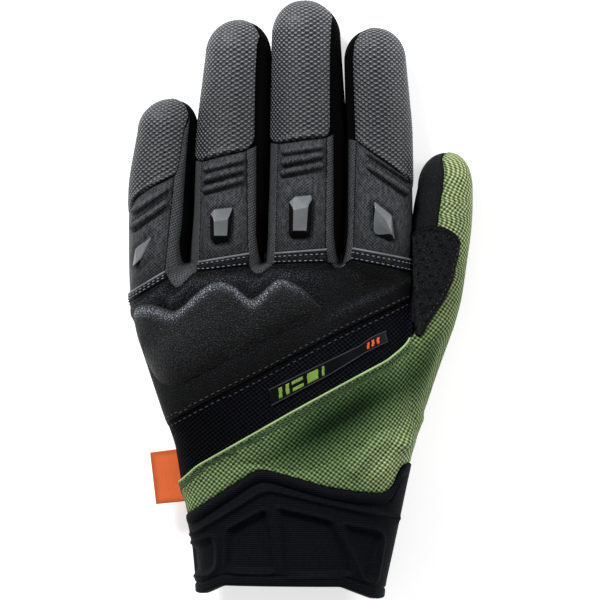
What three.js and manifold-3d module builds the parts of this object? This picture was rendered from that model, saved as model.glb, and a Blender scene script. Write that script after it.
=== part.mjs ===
// Left-hand mountain bike glove lying palm down: back of the hand up (+Z), fingertips towards +Y,
// thumb towards +X. Millimetres. The origin is the centre of the footprint on the surface it lies on.
//
// The glove is a hollow skin of lofted tubes: hand, four fingers and thumb. Seam lines, seen from
// above, divide the skin into the panels that such a glove is sewn from. The guard, studs, ribs, patch,
// label and tag are laid over it.
import * as THREE from "three";
import { ConvexGeometry } from "three/addons/geometries/ConvexGeometry.js";
import { mergeVertices } from "three/addons/utils/BufferGeometryUtils.js";
import Module from "manifold-3d";

const wasm = await Module();
wasm.setup();

// Driving dimensions
const WALL = 2.0; // cloth or leather with its backing
const CUFF_WALL = 2.8; // knitted neoprene
const CUFF_RISE = 1.1; // how far the cuff stands over the cloth
const SEAM_GAP = 0.36; // slit between two panels
const LAY_GAP = 0.3; // gap under a piece that is laid on the cloth
const SEAM_Z = 7.0; // height of the seam between the palm side and the back
const RIB_WIDTH = 2.2;
const RIB_RISE = 0.9;
const WELT_WIDTH = 2.0; // raised edge of the green panel
const WELT_RISE = 0.8;
const WELT_LOW = 14; // the welt ends above this height at the side
const STRIP_RISE = 0.4;
const LABEL_RISE = 0.8;
const PATCH_RISE = 1.1;
const PATCH_LOW = 12; // the patch ends above this height on the thumb's side
const GUARD_RISE = 3.2;
const GUARD_ROOT = 3.0; // how deep the guard's section starts under the cloth, before it is cut away
const WINDOW_LOW = 18; // windows are pressed into the back of the cuff only
const TAG_Z = 9.0; // underside of the tag
const TAG_THICKNESS = 1.0;
const SIDE = 75; // past the glove's sides
const TOP = 60; // past its highest point

// How finely the tubes are drawn
const HAND_TUBE = { sides: 20, power: 2.5 };
const FINGER_TUBE = { sides: 14, power: 2.2 };
const TIP_TURNS = [0, 0.42, 0.82, 1.2]; // angles of the sections that round off a tip

// Sections from the wrist on. y: place along the hand, x: centre, w: half width, z: centre height,
// h: half height. A digit's first section lies inside the hand. A tip has the reach of its round end and
// how far it leans sideways.
const HAND = [
  { y: -108, x: -3.8, w: 32.0, z: 16.5, h: 17.5 },
  { y: -99.8, x: -3.5, w: 32.4, z: 16.5, h: 17.5 },
  { y: -84.4, x: -2.5, w: 34.8, z: 16.0, h: 17.0 },
  { y: -63.4, x: -2.5, w: 39.2, z: 16.0, h: 17.0 },
  { y: -50.8, x: -2.1, w: 41.6, z: 16.0, h: 17.0 },
  { y: -38.2, x: -4.6, w: 43.6, z: 15.6, h: 16.6 },
  { y: -13.0, x: -8.8, w: 47.8, z: 14.6, h: 15.6 },
  { y: -0.4, x: -10.0, w: 49.0, z: 13.8, h: 14.8 },
  { y: 6.0, x: -10.3, w: 49.3, z: 12.9, h: 13.3 },
  { y: 10.4, x: -10.2, w: 48.2, z: 12.0, h: 10.2 },
  { y: 12.6, x: -10.0, w: 45.5, z: 11.5, h: 6.5 },
];
const HAND_FRONT = 8; // row from which the hand rounds off between the fingers
const DIGITS = {
  little: {
    rows: [
      { y: -34.0, x: -34.0, w: 6.0, z: 10.0, h: 11.0 },
      { y: -3.9, x: -49.0, w: 10.5, z: 11.0, h: 12.0 },
      { y: 10.2, x: -50.0, w: 10.2, z: 11.4, h: 12.4 },
      { y: 28.4, x: -49.0, w: 11.3, z: 10.2, h: 11.2 },
      { y: 41.7, x: -48.6, w: 11.3, z: 9.7, h: 10.7 },
    ],
    tip: { y: 58.8, x: -46.5, w: 10.3, z: 8.8, h: 9.8, reach: 11.2, lean: 1.4 },
  },
  ring: {
    rows: [
      { y: -24.0, x: -24.0, w: 9.0, z: 11.0, h: 12.0 },
      { y: 0.0, x: -26.1, w: 11.9, z: 12.0, h: 13.0 },
      { y: 17.2, x: -25.4, w: 12.5, z: 12.0, h: 13.0 },
      { y: 30.0, x: -24.1, w: 12.6, z: 11.2, h: 12.2 },
      { y: 55.7, x: -23.4, w: 12.4, z: 10.4, h: 11.4 },
    ],
    tip: { y: 85.8, x: -21.5, w: 11.2, z: 9.2, h: 10.2, reach: 11.9, lean: 0.4 },
  },
  middle: {
    rows: [
      { y: -24.0, x: -4.0, w: 9.0, z: 11.0, h: 12.0 },
      { y: 0.0, x: 0.2, w: 12.8, z: 12.6, h: 13.6 },
      { y: 17.2, x: 1.2, w: 13.0, z: 12.4, h: 13.4 },
      { y: 34.7, x: 2.5, w: 13.1, z: 11.4, h: 12.4 },
      { y: 60.0, x: 2.9, w: 12.9, z: 10.6, h: 11.6 },
    ],
    tip: { y: 92.1, x: 2.3, w: 11.7, z: 9.4, h: 10.4, reach: 12.4, lean: -0.6 },
  },
  index: {
    rows: [
      { y: -34.0, x: 12.0, w: 8.0, z: 11.0, h: 12.0 },
      { y: -2.0, x: 26.0, w: 12.6, z: 12.0, h: 13.0 },
      { y: 12.0, x: 26.6, w: 12.3, z: 12.0, h: 13.0 },
      { y: 30.0, x: 27.8, w: 11.5, z: 11.0, h: 12.0 },
      { y: 60.0, x: 27.7, w: 11.2, z: 10.0, h: 11.0 },
    ],
    tip: { y: 83.7, x: 26.1, w: 10.4, z: 9.0, h: 10.0, reach: 11.2, lean: -0.4 },
  },
  thumb: {
    rows: [
      { y: -80.0, x: 8.0, w: 8.0, z: 9.0, h: 10.0 },
      { y: -50.8, x: 25.0, w: 14.2, z: 11.4, h: 12.4 },
      { y: -38.2, x: 29.9, w: 14.0, z: 11.2, h: 12.2 },
      { y: -25.6, x: 35.5, w: 12.6, z: 10.6, h: 11.6 },
      { y: -13.0, x: 41.1, w: 11.6, z: 10.0, h: 11.0 },
      { y: -0.4, x: 45.4, w: 10.9, z: 9.7, h: 10.7 },
      { y: 24.2, x: 50.0, w: 9.8, z: 9.5, h: 10.5 },
      { y: 32.9, x: 50.6, w: 9.7, z: 9.3, h: 10.3 },
    ],
    tip: { y: 39.2, x: 50.9, w: 9.3, z: 9.0, h: 10.0, reach: 12.2, lean: 0.5 },
  },
};
const FINGERS = ["little", "ring", "middle", "index"];

// Seam lines, seen from above as [x, y] points.
const WEB_CORNER = [39.3, -12.5]; // where the mesh band, the green panel and the thumb's front meet
const KNUCKLE_FOOT = [[-SIDE, -58], [-46, -43], [-14.2, -26.4], [10.3, -13.3], [38.9, 0.4]];
const GREEN_EDGE = [
  [-SIDE, -82], [-41.5, -63.7], [-35.7, -58.1], [-24, -51.3], [-4.4, -40.1], [15.2, -29.4], [29.9, -21.5],
  [36, -16.4],
];
const INDEX_SIDE = [[38.9, 0.4], [38.9, 18], [39.8, 24], [39.9, 60]];
const THUMB_SEAM = [[46.2, 60], [49.8, 48.3], [50.3, 43], [49, 34.7], [46.7, 17.2], [44.6, 3.2], [41.8, -7.4]];
const THUMB_UNDER = [[38.4, -4], [45, -14], [SIDE, -24]];
const CUFF_TOP = [
  [-SIDE, -90], [-38.4, -74.6], [-26.1, -66.2], [-16.6, -60.1], [-13.8, -58.9], [-9.6, -59.5], [8.9, -65.1],
  [20.5, -67.1], [29.2, -67.6], [32, -65.1], [34.8, -58.2], [38, -57], [SIDE, -57],
];
const HEM = [[-SIDE, -101.2], [-34.1, -102.6], [-27.5, -99.4], [14.5, -99.8], [26.3, -104.6], [SIDE, -104.6]];
const FINGER_CREASE = 13.0; // y of the seam across the palm side at the fingers' feet

// Foot of each finger: the corners of the stitched strip below its padded panel.
const FOOT = {
  little: { left: [-64, 0], right: [-47.1, 9.6], low_left: [-64, -3.4], low_right: [-46.2, 7.2] },
  ring: { left: [-35.6, 12.8], right: [-18, 15.8], low_left: [-36.2, 9.6], low_right: [-18.2, 11.7] },
  middle: { left: [-8.9, 15.8], right: [9.0, 17.2], low_left: [-9.2, 12.4], low_right: [9.4, 12.8] },
  index: { left: [18.2, 17.6], right: [38.9, 13.6], low_left: [17.7, 13.7], low_right: [38.9, 9.4] },
};
// Upper edge of each padded panel, from left to right, where the finger's mesh begins.
const PANEL_TOP = {
  little: [[-64, 28], [-59.4, 31.9], [-57.1, 35.7], [-51.5, 39.4], [-43.9, 43.1]],
  ring: [[-34.9, 48], [-18.7, 51.9]],
  middle: [[-8.1, 54.2], [9.3, 56.4]],
  index: [[19.3, 55.3], [23.3, 52.2], [39.9, 39.4]],
};
// Where the mesh of a finger ends at its side walls, from the padded panel to past the tip.
const MESH_LEFT = {
  little: [[-64, 75]],
  ring: [[-37.5, 52], [-40, 58], [-40, 105]],
  middle: [[-12, 58], [-16, 64], [-16, 110]],
  index: [[18.8, 69.6], [18.4, 84.1], [19.0, 90], [17, 98]],
};
const MESH_RIGHT = {
  little: [[-42.9, 45.1], [-40.8, 58.8], [-38.7, 65.4], [-36.6, 72]],
  ring: [[-16.1, 55.3], [-15.7, 79.1], [-15.2, 88.9], [-13.2, 94.8], [-11, 100]],
  middle: [[10.3, 59.2], [10.3, 87.1], [11.2, 99.4], [12.5, 106]],
  index: [[41, 42], [42, 100]],
};
// Bottom of the U of web where two fingers part, and the slit between the two fingers beside it.
const GAPS = {
  little_ring: { web: [[-44.6, 4.6], [-43.2, 3.6], [-41, 4.9], [-38.2, 8]], slit: [[-36.1, 62], [-36.1, 50]] },
  ring_middle: {
    web: [[-16.7, 9.4], [-15.0, 8.7], [-13.1, 9.1], [-10.4, 11.4]],
    slit: [[-10.0, 90], [-10.15, 72], [-10.6, 56.6]],
  },
  middle_index: { web: [[11, 11.4], [13, 10.5], [14.9, 11.2], [16.3, 12.4]], slit: [] },
};
// Dividing lines between two fingers on the palm side.
const FRONT_SPLITS = {
  little_ring: [[-38.5, FINGER_CREASE], [-37.2, 30], [-36.1, 55], [-35.4, 80]],
  ring_middle: [[-12.6, FINGER_CREASE], [-11.1, 32], [-10.6, 52], [-9.6, 90], [-9.6, 110]],
  middle_index: [[14.4, FINGER_CREASE], [15.9, 32], [16.2, 52], [15.2, 90], [15.2, 110]],
};

// Raised ribs of the padded panels: [left end, right end].
const RIBS = {
  little: [[[-57.0, 30.5], [-46.4, 38.8]], [[-57.6, 24.9], [-47.4, 33.0]]],
  ring: [[[-32.4, 45.4], [-20.3, 48.7]], [[-32.7, 41.7], [-20.5, 45.2]], [[-32.9, 38.0], [-20.5, 41.6]]],
  middle: [[[-5.2, 51.3], [7.2, 53.2]], [[-5.4, 47.5], [7.1, 50.0]], [[-5.6, 43.8], [6.9, 46.5]]],
  index: [[[23.8, 49.2], [36.4, 39.6]], [[24.3, 44.6], [36.2, 35.4]]],
};
// Moulded studs: outline of the foot, outline of the flat top, and the heights of shoulder and top.
const STUDS = {
  little: {
    foot: [[-51.4, 22.7], [-57.4, 17.2], [-58.4, 11.6], [-56.1, 9.9], [-52.0, 15.3]],
    top: [[-52.8, 19.8], [-56.0, 15.8], [-56.6, 12.8], [-53.2, 16.4]],
    shoulder_z: 20.4,
    top_z: 23.2,
  },
  ring: {
    foot: [[-31.4, 21], [-29.6, 18.7], [-25, 18.9], [-24.4, 20.6], [-23.6, 31.9], [-30.1, 31.2], [-31.5, 29.4]],
    top: [[-30.0, 21.9], [-25.6, 21.9], [-25.2, 27.8], [-30.1, 27.0]],
    shoulder_z: 24.4,
    top_z: 27.2,
  },
  middle: {
    foot: [[-4.1, 22.5], [-2.9, 20.9], [2.3, 20.9], [3.4, 22.1], [4.3, 34.9], [3.6, 36.1], [-2, 35.6], [-4, 33.6]],
    top: [[-2.6, 23.6], [2.0, 23.6], [2.6, 32.0], [-2.4, 31.0]],
    shoulder_z: 25.4,
    top_z: 28.4,
  },
  index: {
    foot: [[25.2, 23.9], [26.2, 22.2], [31.4, 20.2], [32.8, 20.8], [31.8, 29.1], [25.9, 33.9], [25.1, 32.4]],
    top: [[26.8, 25.4], [31.0, 23.4], [30.6, 27.6], [27.2, 30.4]],
    shoulder_z: 24.0,
    top_z: 26.8,
  },
};
// Knuckle guard, from left to right: x and y of its wavy upper edge and of its foot, and how full the
// padding is there.
const GUARD = [
  { x: -57.8, y: -5.0, foot_x: -56.6, foot_y: -13.0, full: 0.3 },
  { x: -56.0, y: -1.9, foot_x: -55.0, foot_y: -18.0, full: 0.6 },
  { x: -51.4, y: -1.2, foot_x: -52.4, foot_y: -25.0, full: 0.8 },
  { x: -46.0, y: -3.4, foot_x: -49.2, foot_y: -29.1, full: 0.95 },
  { x: -43.2, y: -4.1, foot_x: -45.0, foot_y: -30.5, full: 0.95 },
  { x: -40.3, y: -2.3, foot_x: -40.8, foot_y: -29.4, full: 0.95 },
  { x: -36.1, y: 1.3, foot_x: -35.5, foot_y: -27.0, full: 1 },
  { x: -31.7, y: 4.4, foot_x: -30.0, foot_y: -24.2, full: 1 },
  { x: -28.0, y: 5.8, foot_x: -26.0, foot_y: -22.0, full: 1 },
  { x: -23.2, y: 4.2, foot_x: -21.5, foot_y: -19.6, full: 1 },
  { x: -19.6, y: 1.3, foot_x: -18.0, foot_y: -17.6, full: 0.95 },
  { x: -17.3, y: -0.3, foot_x: -15.5, foot_y: -16.4, full: 0.95 },
  { x: -14.2, y: 1.3, foot_x: -12.5, foot_y: -14.8, full: 0.95 },
  { x: -9.2, y: 5.4, foot_x: -8.0, foot_y: -12.4, full: 1 },
  { x: -5.8, y: 6.3, foot_x: -4.5, foot_y: -10.8, full: 1 },
  { x: -1.2, y: 4.9, foot_x: -0.5, foot_y: -9.4, full: 0.9 },
  { x: 3.2, y: 1.8, foot_x: 3.5, foot_y: -7.9, full: 0.7 },
  { x: 7.4, y: -2.6, foot_x: 8.0, foot_y: -6.6, full: 0.3 },
];
// Across the guard from its foot to its wavy edge. v: share of the way up from edge to foot, up: share of
// the rise.
const GUARD_PROFILE = [
  { v: 1, up: 0.25 }, { v: 0.75, up: 0.7 }, { v: 0.4, up: 0.95 }, { v: 0.14, up: 1 }, { v: 0.05, up: 0.75 },
  { v: 0, up: 0.3 },
];
const LABEL = [
  [-11.4, -31.9], [12.4, -20.5], [21.5, -16.7], [31, -9.9], [31.3, -15.4], [22.2, -19.7], [9.3, -27],
  [-10.7, -35.4],
];
const PATCH = [
  [39.6, 22.5], [41.0, 24.6], [45.3, 25.9], [50.2, 25.2], [53.7, 23.3], [55.4, 20.3], [55.1, 15.9],
  [52.7, 5.2], [49.9, -1.2], [46.7, -5.6], [42.4, -13.0], [40.6, -13.8], [39.6, -11.9],
];
const CUFF_WINDOWS = [
  [[-50, -89], [-37.8, -86.5], [-30.4, -82.8], [-29.2, -87], [-29.6, -93.2], [-32, -95.4], [-50, -97]],
  [[-24.6, -80.4], [-12.2, -73.4], [-11.2, -76], [-9.4, -92.6], [-10.4, -94.6], [-23.6, -94], [-25.2, -92.4]],
  [[-7.2, -73.2], [5.6, -76.2], [10.6, -77.6], [15.6, -88.2], [17.4, -95.2], [-4.2, -95.8], [-5.4, -93.6]],
  [[15.4, -79.0], [26.6, -81.2], [27.6, -83], [25.0, -97.6], [22.4, -97.2], [16.8, -84.0]],
];
const TAG = [[-52.9, -53.9], [-39, -52.1], [-36, -70.6], [-50.8, -72.1]];

const MATERIALS = {
  mesh_fabric: { color: 0x2a2b2d, roughness: 0.9 },
  padded_fabric: { color: 0x2c2d2f, roughness: 0.85 },
  stretch_fabric: { color: 0x161718, roughness: 0.9 },
  leather: { color: 0x26282a, roughness: 0.55 },
  suede: { color: 0x1d1f22, roughness: 0.8 },
  stud: { color: 0x6b6f72, roughness: 0.45 },
  green_fabric: { color: 0x5f8a3c, roughness: 0.85 },
  neoprene: { color: 0x17191c, roughness: 0.75 },
  label: { color: 0x0d0e10, roughness: 0.35 },
  tag: { color: 0xe85a1c, roughness: 0.7 },
};

// A closed BufferGeometry as a solid, for cutting and joining.
function solidOf(geometry) {
  geometry.deleteAttribute("normal");
  geometry.deleteAttribute("uv");
  const merged = mergeVertices(geometry, 1e-4);
  const mesh = new wasm.Mesh({
    numProp: 3,
    vertProperties: merged.attributes.position.array,
    triVerts: new Uint32Array(merged.index.array),
  });
  return new wasm.Manifold(mesh);
}

// A solid as a BufferGeometry with flat faces.
function geometryOf(solid) {
  const mesh = solid.getMesh();
  const positions = new Float32Array(mesh.numVert * 3);
  for (let i = 0; i < mesh.numVert; i++) {
    positions.set(mesh.vertProperties.subarray(i * mesh.numProp, i * mesh.numProp + 3), i * 3);
  }
  const geometry = new THREE.BufferGeometry();
  geometry.setAttribute("position", new THREE.BufferAttribute(positions, 3));
  geometry.setIndex(new THREE.BufferAttribute(mesh.triVerts, 1));
  const flat = geometry.toNonIndexed();
  flat.computeVertexNormals();
  return flat;
}

// Skin over closed rings of points. The ends are fans to the middle of the ring, or to a given point.
function loft(rings, endPoint) {
  const sides = rings[0].length;
  const middle = (ring) => ring.reduce((sum, p) => sum.add(p), new THREE.Vector3()).divideScalar(sides);
  const points = rings.flat();
  const first = points.push(middle(rings[0])) - 1;
  const last = points.push(endPoint ?? middle(rings[rings.length - 1])) - 1;
  const lastRing = (rings.length - 1) * sides;
  const index = [];
  for (let k = 0; k < sides; k++) {
    const next = (k + 1) % sides;
    for (let start = 0; start < lastRing; start += sides) {
      const a = start + k;
      const b = start + next;
      index.push(a, a + sides, b, b, a + sides, b + sides);
    }
    index.push(first, k, next, last, lastRing + next, lastRing + k);
  }
  const geometry = new THREE.BufferGeometry().setFromPoints(points);
  geometry.setIndex(index);
  return solidOf(geometry);
}

// One superellipse section of a tube, flattened where it lies on the floor.
function section({ y, x, w, z, h }, { sides, power }, floor) {
  const bulge = (value) => Math.sign(value) * Math.abs(value) ** (2 / power);
  return Array.from({ length: sides }, (_, k) => {
    const angle = (2 * Math.PI * (k + 0.5)) / sides;
    const height = z + h * bulge(Math.sin(angle));
    return new THREE.Vector3(x + w * bulge(Math.cos(angle)), y, Math.max(height, floor));
  });
}

// A finger or the thumb: the sections of its table and a round tip.
function digit({ rows, tip }, grow, floor = 0) {
  const straight = rows.map((row) => ({ ...row, w: row.w + grow, h: row.h + grow }));
  const round = TIP_TURNS.map((turn) => ({
    y: tip.y + (tip.reach + grow) * Math.sin(turn),
    x: tip.x + tip.lean * Math.sin(turn) ** 2,
    w: (tip.w + grow) * Math.cos(turn) ** 0.92,
    z: tip.z,
    h: (tip.h + grow) * Math.cos(turn) ** 0.92,
  }));
  const rings = [...straight, ...round].map((row) => section(row, FINGER_TUBE, floor));
  return loft(rings, new THREE.Vector3(tip.x + tip.lean, tip.y + tip.reach + grow, tip.z));
}

// The hand, whose front rounds off between the fingers.
function hand(grow, floor = 0) {
  const rows = HAND.map((row, i) => {
    const forward = Math.max(0, i - HAND_FRONT + 1) / (HAND.length - HAND_FRONT);
    return { ...row, y: row.y + grow * forward, w: row.w + grow, h: row.h + grow };
  });
  return loft(rows.map((row) => section(row, HAND_TUBE, floor)));
}

const union = (solids) => solids.reduce((sum, solid) => sum.add(solid));

// The whole glove as one solid, grown outwards, or inwards for its hollow.
function glove(grow) {
  const floor = Math.max(0, -grow);
  return union([hand(grow, floor), ...Object.values(DIGITS).map((table) => digit(table, grow, floor))]);
}

// An outline with every side moved inwards by a distance.
function inset(outline, distance) {
  const points = outline.map(([x, y]) => new THREE.Vector2(x, y));
  const inwards = THREE.ShapeUtils.area(points) > 0 ? 1 : -1;
  const normal = (from, to) => {
    const along = to.clone().sub(from).normalize();
    return new THREE.Vector2(-along.y, along.x).multiplyScalar(inwards);
  };
  return points.map((point, i) => {
    const before = normal(points.at(i - 1), point);
    const after = normal(point, points[(i + 1) % points.length]);
    const miter = distance / Math.max(0.2, 1 + before.dot(after));
    return [point.x + (before.x + after.x) * miter, point.y + (before.y + after.y) * miter];
  });
}

// An upright prism over an outline seen from above.
function prism(outline, low = -5, high = TOP) {
  const shape = new THREE.Shape(outline.map(([x, y]) => new THREE.Vector2(x, y)));
  const geometry = new THREE.ExtrudeGeometry(shape, { depth: high - low, bevelEnabled: false });
  geometry.translate(0, 0, low);
  return solidOf(geometry);
}

// A straight bar with round ends, seen from above.
function capsule([from, to], width, low) {
  const angle = Math.atan2(to[1] - from[1], to[0] - from[0]);
  const shape = new THREE.Shape();
  shape.absarc(to[0], to[1], width / 2, angle - Math.PI / 2, angle + Math.PI / 2);
  shape.absarc(from[0], from[1], width / 2, angle + Math.PI / 2, angle + Math.PI * 1.5);
  return prism(shape.getPoints(1).map((p) => [p.x, p.y]), low);
}

// The largest body of a solid, so that a sliver left by a cut drops off.
function mainBody(solid) {
  return solid.decompose().reduce((best, body) => (body.volume() > best.volume() ? body : best));
}

const everywhere = [[-99, -140], [99, -140], [99, 140], [-99, 140]];
const aboveSeam = prism(everywhere, SEAM_Z + SEAM_GAP / 2);
const belowSeam = prism(everywhere, -5, SEAM_Z - SEAM_GAP / 2);
const inner = glove(-WALL);
const cover = glove(LAY_GAP); // keeps what is laid on the glove clear of it
const skin = glove(0).subtract(inner);
const back = skin.intersect(aboveSeam);
const front = skin.intersect(belowSeam);
const reversed = (line) => [...line].reverse();
const panel = (outline, low) => prism(inset(outline, SEAM_GAP / 2), low);
const sleeve = (name) => digit(DIGITS[name], 0).subtract(inner);
const raisedBack = (rise) => glove(rise).subtract(inner).intersect(aboveSeam);

const group = new THREE.Group();
function addPiece(name, material, solid) {
  const look = new THREE.MeshStandardMaterial({ metalness: 0, ...MATERIALS[material] });
  const mesh = new THREE.Mesh(geometryOf(mainBody(solid)), look);
  mesh.name = name;
  group.add(mesh);
}

// Palm side: one palm sheet and a front sheet under each finger.
function addPalmSide() {
  const palm = [[-SIDE, FINGER_CREASE], [38.4, FINGER_CREASE], ...THUMB_UNDER, ...reversed(CUFF_TOP)];
  addPiece("palm", "suede", front.intersect(panel(palm)));
  const { little_ring, ring_middle, middle_index } = FRONT_SPLITS;
  const columns = {
    little: [[-SIDE, FINGER_CREASE], [-SIDE, 80], ...reversed(little_ring)],
    ring: [...little_ring, [-35.4, 110], ...reversed(ring_middle)],
    middle: [...ring_middle, ...reversed(middle_index)],
    index: [...middle_index, [39.6, 110], [39.6, 24], [38.4, 18], [38.4, FINGER_CREASE]],
  };
  for (const name of FINGERS) {
    addPiece(`${name}_finger_front`, "suede", front.intersect(sleeve(name)).intersect(panel(columns[name])));
  }
}

// The thumb's front leather covers its underside and its inner side, up to the seam with the green cloth.
function addThumb() {
  const inside = panel([...INDEX_SIDE, ...THUMB_SEAM, WEB_CORNER]);
  const underside = panel([[38.4, 18], [39.9, 24], [39.9, 60], [SIDE, 60], ...reversed(THUMB_UNDER)]);
  const turned = skin.intersect(inside).intersect(underside);
  addPiece("thumb_front", "suede", union([turned, back.intersect(inside), front.intersect(underside)]));
  const bed = digit(DIGITS.thumb, LAY_GAP + PATCH_RISE);
  addPiece("thumb_patch", "leather", bed.intersect(prism(PATCH, PATCH_LOW)).subtract(cover));
}

// Back of the hand: leather over the knuckles, mesh band and green cloth with its raised edge.
function addHandBack() {
  const fingerFeet = [
    FOOT.little.low_left, FOOT.little.low_right, ...GAPS.little_ring.web,
    FOOT.ring.low_left, FOOT.ring.low_right, ...GAPS.ring_middle.web,
    FOOT.middle.low_left, FOOT.middle.low_right, ...GAPS.middle_index.web,
    FOOT.index.low_left, FOOT.index.low_right,
  ];
  addPiece("knuckle_leather", "leather", back.intersect(panel([...fingerFeet, ...reversed(KNUCKLE_FOOT)])));
  const band = [...KNUCKLE_FOOT, WEB_CORNER, ...reversed(GREEN_EDGE)];
  addPiece("mesh_band", "mesh_fabric", back.intersect(panel(band)));
  const green = [...GREEN_EDGE, WEB_CORNER, ...reversed(THUMB_SEAM), [SIDE, 60], ...reversed(CUFF_TOP)];
  // The edge runs up to the right at 30 degrees, so its welt reaches down and to the right of it.
  const weltFoot = GREEN_EDGE.map(([x, y]) => [x + WELT_WIDTH * 0.5, y - WELT_WIDTH * 0.87]);
  const welt = raisedBack(WELT_RISE).intersect(panel([...GREEN_EDGE, ...reversed(weltFoot)], WELT_LOW));
  addPiece("green_panel", "green_fabric", back.intersect(panel(green)).add(welt));
}

// Cuff: a ring of thicker knit with frames left standing around pressed windows.
function addCuff() {
  const tube = hand(CUFF_RISE).subtract(hand(CUFF_RISE - CUFF_WALL, CUFF_WALL - CUFF_RISE));
  const windows = union(CUFF_WINDOWS.map((outline) => prism(outline, WINDOW_LOW))).subtract(hand(0));
  addPiece("cuff", "neoprene", tube.intersect(panel([...CUFF_TOP, ...reversed(HEM)])).subtract(windows));
}

// A finger's padded panel with its ribs, the mesh beyond it and the stitched strip at its foot.
function addFinger(name) {
  const { left, right, low_left, low_right } = FOOT[name];
  const cloth = back.intersect(sleeve(name));
  const outerSide = name === "index" ? reversed(INDEX_SIDE.slice(1, 3)) : [];
  const padded = panel([left, ...PANEL_TOP[name], ...outerSide, right]);
  const ribs = union(RIBS[name].map((ends) => capsule(ends, RIB_WIDTH, SEAM_Z + 1)));
  const ribbed = digit(DIGITS[name], RIB_RISE).subtract(inner).intersect(ribs).intersect(padded);
  addPiece(`${name}_knuckle_panel`, "padded_fabric", mainBody(cloth.intersect(padded)).add(ribbed));

  const mesh = panel([...reversed(PANEL_TOP[name]), ...MESH_LEFT[name], ...reversed(MESH_RIGHT[name])]);
  addPiece(`${name}_finger_mesh`, "mesh_fabric", cloth.intersect(mesh));

  const strip = panel([low_left, left, right, low_right]);
  addPiece(`${name}_seam_strip`, "leather", raisedBack(STRIP_RISE).intersect(strip));
}

// Moulded stud: straight sides up to a shoulder, then facets to a smaller flat top.
function addStud(name) {
  const { foot, top, shoulder_z, top_z } = STUDS[name];
  const at = (outline, z) => outline.map(([x, y]) => new THREE.Vector3(x, y, z));
  const corners = [...at(foot, SEAM_Z), ...at(foot, shoulder_z), ...at(top, top_z)];
  addPiece(`${name}_stud`, "stud", solidOf(new ConvexGeometry(corners)).subtract(cover));
}

// Side walls of two fingers and the web between them.
function addFourchette(leftName, rightName) {
  const { web, slit } = GAPS[`${leftName}_${rightName}`];
  const left = FOOT[leftName];
  const right = FOOT[rightName];
  const upTheLeft = [left.low_right, left.right, PANEL_TOP[leftName].at(-1), ...MESH_RIGHT[leftName]];
  const over = slit.length ? slit : reversed(MESH_LEFT[rightName]);
  const downTheRight = [PANEL_TOP[rightName][0], right.left, right.low_left, ...reversed(web)];
  const outline = panel([...upTheLeft, ...over, ...downTheRight]);
  addPiece(`fourchette_${leftName}_${rightName}`, "stretch_fabric", back.intersect(outline));
}

// Height of the hand's back under a point, from its section table.
function handTop(x, y) {
  const next = HAND.findIndex((row) => row.y > y);
  const [a, b] = [HAND[next - 1], HAND[next]];
  const mix = (key) => THREE.MathUtils.mapLinear(y, a.y, b.y, a[key], b[key]);
  const across = Math.abs((x - mix("x")) / mix("w")) ** HAND_TUBE.power;
  return mix("z") + mix("h") * Math.max(0, 1 - across) ** (1 / HAND_TUBE.power);
}

// Padded guard: sections from its foot to its wavy edge, from left to right, cut to lie on the glove.
function addGuard() {
  const rings = GUARD.map(({ x, y, foot_x, foot_y, full }) => {
    const at = (v, rise) => {
      const px = x + (foot_x - x) * v;
      const py = y + (foot_y - y) * v;
      return new THREE.Vector3(px, py, handTop(px, py) + rise);
    };
    const upper = GUARD_PROFILE.map(({ v, up }) => at(v, LAY_GAP + GUARD_RISE * up * full));
    const lower = reversed(GUARD_PROFILE).map(({ v }) => at(v, -GUARD_ROOT));
    return [...upper, ...lower];
  });
  addPiece("knuckle_guard", "leather", loft(rings).subtract(cover));
}

function addLabelAndTag() {
  const label = glove(LAY_GAP + LABEL_RISE).intersect(prism(LABEL)).subtract(cover);
  addPiece("band_label", "label", label);
  addPiece("side_tag", "tag", prism(TAG, TAG_Z, TAG_Z + TAG_THICKNESS).subtract(cover));
}

addPalmSide();
addThumb();
addHandBack();
addCuff();
FINGERS.forEach(addFinger);
FINGERS.forEach(addStud);
addFourchette("little", "ring");
addFourchette("ring", "middle");
addFourchette("middle", "index");
addGuard();
addLabelAndTag();

export default group;
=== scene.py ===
"""A left-hand mountain bike glove, seen on its back, lying palm down on a pale floor.

Every cloth and leather panel is a grid of points on the glove's skin. The skin is known in two ways: as
the smooth outer surface of the hand and all its digits, and as one round tube for each digit. A panel is
bounded by four seam lines, its inside is filled between them, and a relief is added along the normal.
Lengths in this script are millimetres, and meshes are written in metres. Fingertips point towards +Y,
the thumb towards +X and the back of the hand towards +Z.
"""
import logging
from dataclasses import dataclass, field
from enum import Enum

import bmesh
import bpy
import numpy as np
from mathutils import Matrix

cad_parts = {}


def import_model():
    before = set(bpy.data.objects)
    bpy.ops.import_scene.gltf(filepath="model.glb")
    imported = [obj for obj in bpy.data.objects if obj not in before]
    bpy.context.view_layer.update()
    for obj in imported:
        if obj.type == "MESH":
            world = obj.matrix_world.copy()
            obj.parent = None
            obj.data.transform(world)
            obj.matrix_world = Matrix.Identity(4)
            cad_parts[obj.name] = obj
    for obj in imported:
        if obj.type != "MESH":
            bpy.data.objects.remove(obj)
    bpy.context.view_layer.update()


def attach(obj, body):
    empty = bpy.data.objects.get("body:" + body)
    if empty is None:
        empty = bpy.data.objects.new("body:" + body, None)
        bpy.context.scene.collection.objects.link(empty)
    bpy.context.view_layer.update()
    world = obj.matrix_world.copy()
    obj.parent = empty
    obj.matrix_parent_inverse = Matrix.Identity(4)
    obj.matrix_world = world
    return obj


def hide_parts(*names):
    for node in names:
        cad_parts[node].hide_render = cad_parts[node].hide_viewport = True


Array = np.ndarray
Points = list[tuple[float, float]]
Color = tuple[float, float, float, float]
Material = bpy.types.Material
Socket = bpy.types.NodeSocket
log = logging.getLogger("glove")

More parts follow.
